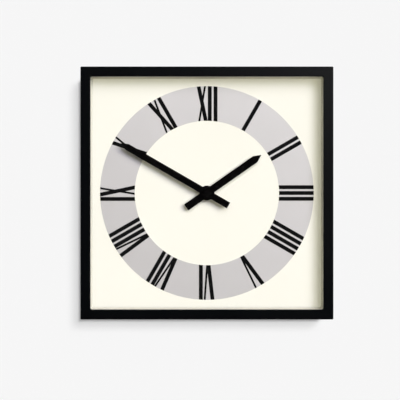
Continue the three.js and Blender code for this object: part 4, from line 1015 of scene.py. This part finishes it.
handPieces = [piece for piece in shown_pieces() if piece.name in ("hourHand", "minuteHand", "handCap")]
dialPieces = [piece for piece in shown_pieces() if piece.name in ("dialPlate", "chapterRing", "romanNumerals")]
lit = {
    "clock": lampGroup("litByClockLamps", [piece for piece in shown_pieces() if piece is not frontGlass]),
    "dial": lampGroup("litByDialLamps", dialPieces),
    "liner": lampGroup("litByLinerLamp", [linerStrip]),
    "wall": lampGroup("litByWallLamps", [wall]),
    "floor": lampGroup("litByFloorLamp", [floor]),
}
shades = {
    "hands": lampGroup("shadesDialLamps", handPieces),
    "case": lampGroup("shadesFrontLamp", [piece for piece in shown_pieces() if piece not in handPieces]),
}


def addSun(name, towards, angle, share, lights, tint="white", shadedBy=None):
    way = Vector(towards)
    data = bpy.data.lights.new(name, "SUN")
    data.angle = radians(angle)
    data.color = tints[tint]
    towardsLit = way.normalized().z if lights == "floor" else abs(way.normalized().y)
    data.energy = pi * level[lights] * share / towardsLit
    lamp = bpy.data.objects.new(name, data)
    lamp.location = way * lampDistance
    lamp.rotation_euler = way.to_track_quat("Z", "Y").to_euler()
    lamp.light_linking.receiver_collection = lit[lights]
    if shadedBy:
        lamp.light_linking.blocker_collection = shades[shadedBy]
    lamp.visible_glossy = False
    bpy.context.scene.collection.objects.link(lamp)


addSun("keyRight", (0.68, -1, 0.28), angle=29, share=0.33, lights="clock", tint="key")
addSun("keyUpper", (0.3, -1, 0.75), angle=33, share=0.24, lights="clock", tint="key")
addSun("clockFront", (0.27, -1, -0.15), angle=6, share=0.065, lights="clock", tint="shade", shadedBy="case")
addSun("dialRight", (1.2, -1, 0.6), angle=19, share=0.26, lights="dial", tint="shade", shadedBy="hands")
addSun("dialUpper", (-0.23, -1, 0.36), angle=11, share=0.105, lights="dial", tint="shade", shadedBy="hands")
addSun("linerKey", (1.3, -0.9, 0.9), angle=20, share=0.34, lights="liner")
addSun("wallKey", (0.23, -1, 0.235), angle=4, share=0.36, lights="wall")
addSun("wallSoft", (0.39, -1, 0.4), angle=16, share=0.28, lights="wall")
addSun("wallFront", (0, -1, 0), angle=6, share=0.36, lights="wall")
addSun("rearSoft", (-0.4, 1, 0.45), angle=50, share=0.6, lights="clock")
addSun("floorAbove", (0.1, -0.2, 1), angle=60, share=1.0, lights="floor")
addSun("rearStraight", (0.1, 1, 0.12), angle=20, share=0.35, lights="clock")

# The world: dim fill for diffuse rays, and the pale background for the camera. Gloss sees a room that is dark
# towards the viewer and brighter elsewhere, with a softbox at the upper right and a weak glow at the left.
worldLight = Values(camera=0.922, diffuse=0.012, glossFront=0.0065, glossElsewhere=0.6, darkTo=-0.15,
                    brightFrom=0.4, softboxWay=(0.43, -0.8, 0.41), softboxGloss=2.9, softboxEdge=0.94,
                    glowGloss=0.14, glowFrom=-0.3, glowTo=-0.9)


def makeWorld():
    s = worldLight
    world = bpy.data.worlds.new("studio")
    world.use_nodes = True
    tree = world.node_tree
    path = addNode(tree, "LightPath").outputs
    direction = addNode(tree, "TexCoord").outputs["Generated"]
    way = addNode(tree, "SeparateXYZ", {0: direction}).outputs
    softboxWay = Vector(s.softboxWay).normalized()
    facing = addNode(tree, "VectorMath", {0: direction, 1: softboxWay}, operation="DOT_PRODUCT")
    front = spreadValue(tree, way["Y"], s.glossFront, s.glossElsewhere, s.darkTo, s.brightFrom)
    softbox = spreadValue(tree, facing.outputs["Value"], 0, s.softboxGloss, s.softboxEdge, 1)
    leftGlow = spreadValue(tree, way["X"], 0, s.glowGloss, s.glowFrom, s.glowTo)
    mirrored = calculate(tree, "ADD", front, calculate(tree, "ADD", softbox, leftGlow))
    unseen = mixValues(tree, path["Is Glossy Ray"], s.diffuse, mirrored)
    strength = mixValues(tree, path["Is Camera Ray"], unseen, s.camera)
    feed(tree, tree.nodes["Background"], {"Color": (1, 1, 1, 1), "Strength": strength})
    bpy.context.scene.world = world


makeWorld()

# Camera: straight in front of the dial, with a small shift, in pixels of the photograph, that puts the clock
# where the photograph has it
view = Values(distance=0.845, lens=60.744, sensor=36, shift=(-6.9, -7), pixels=400)
cameraData = bpy.data.cameras.new("camera")
cameraData.sensor_width, cameraData.lens = view.sensor, view.lens
cameraData.shift_x, cameraData.shift_y = (part / view.pixels for part in view.shift)
camera = bpy.data.objects.new("camera", cameraData)
camera.location = (0, -view.distance, dialMiddle[2])
camera.rotation_euler = (pi / 2, 0, 0)
bpy.context.scene.collection.objects.link(camera)
bpy.context.scene.camera = camera
bpy.context.scene.view_settings.view_transform = "Standard"
print("room, lamps and camera placed")
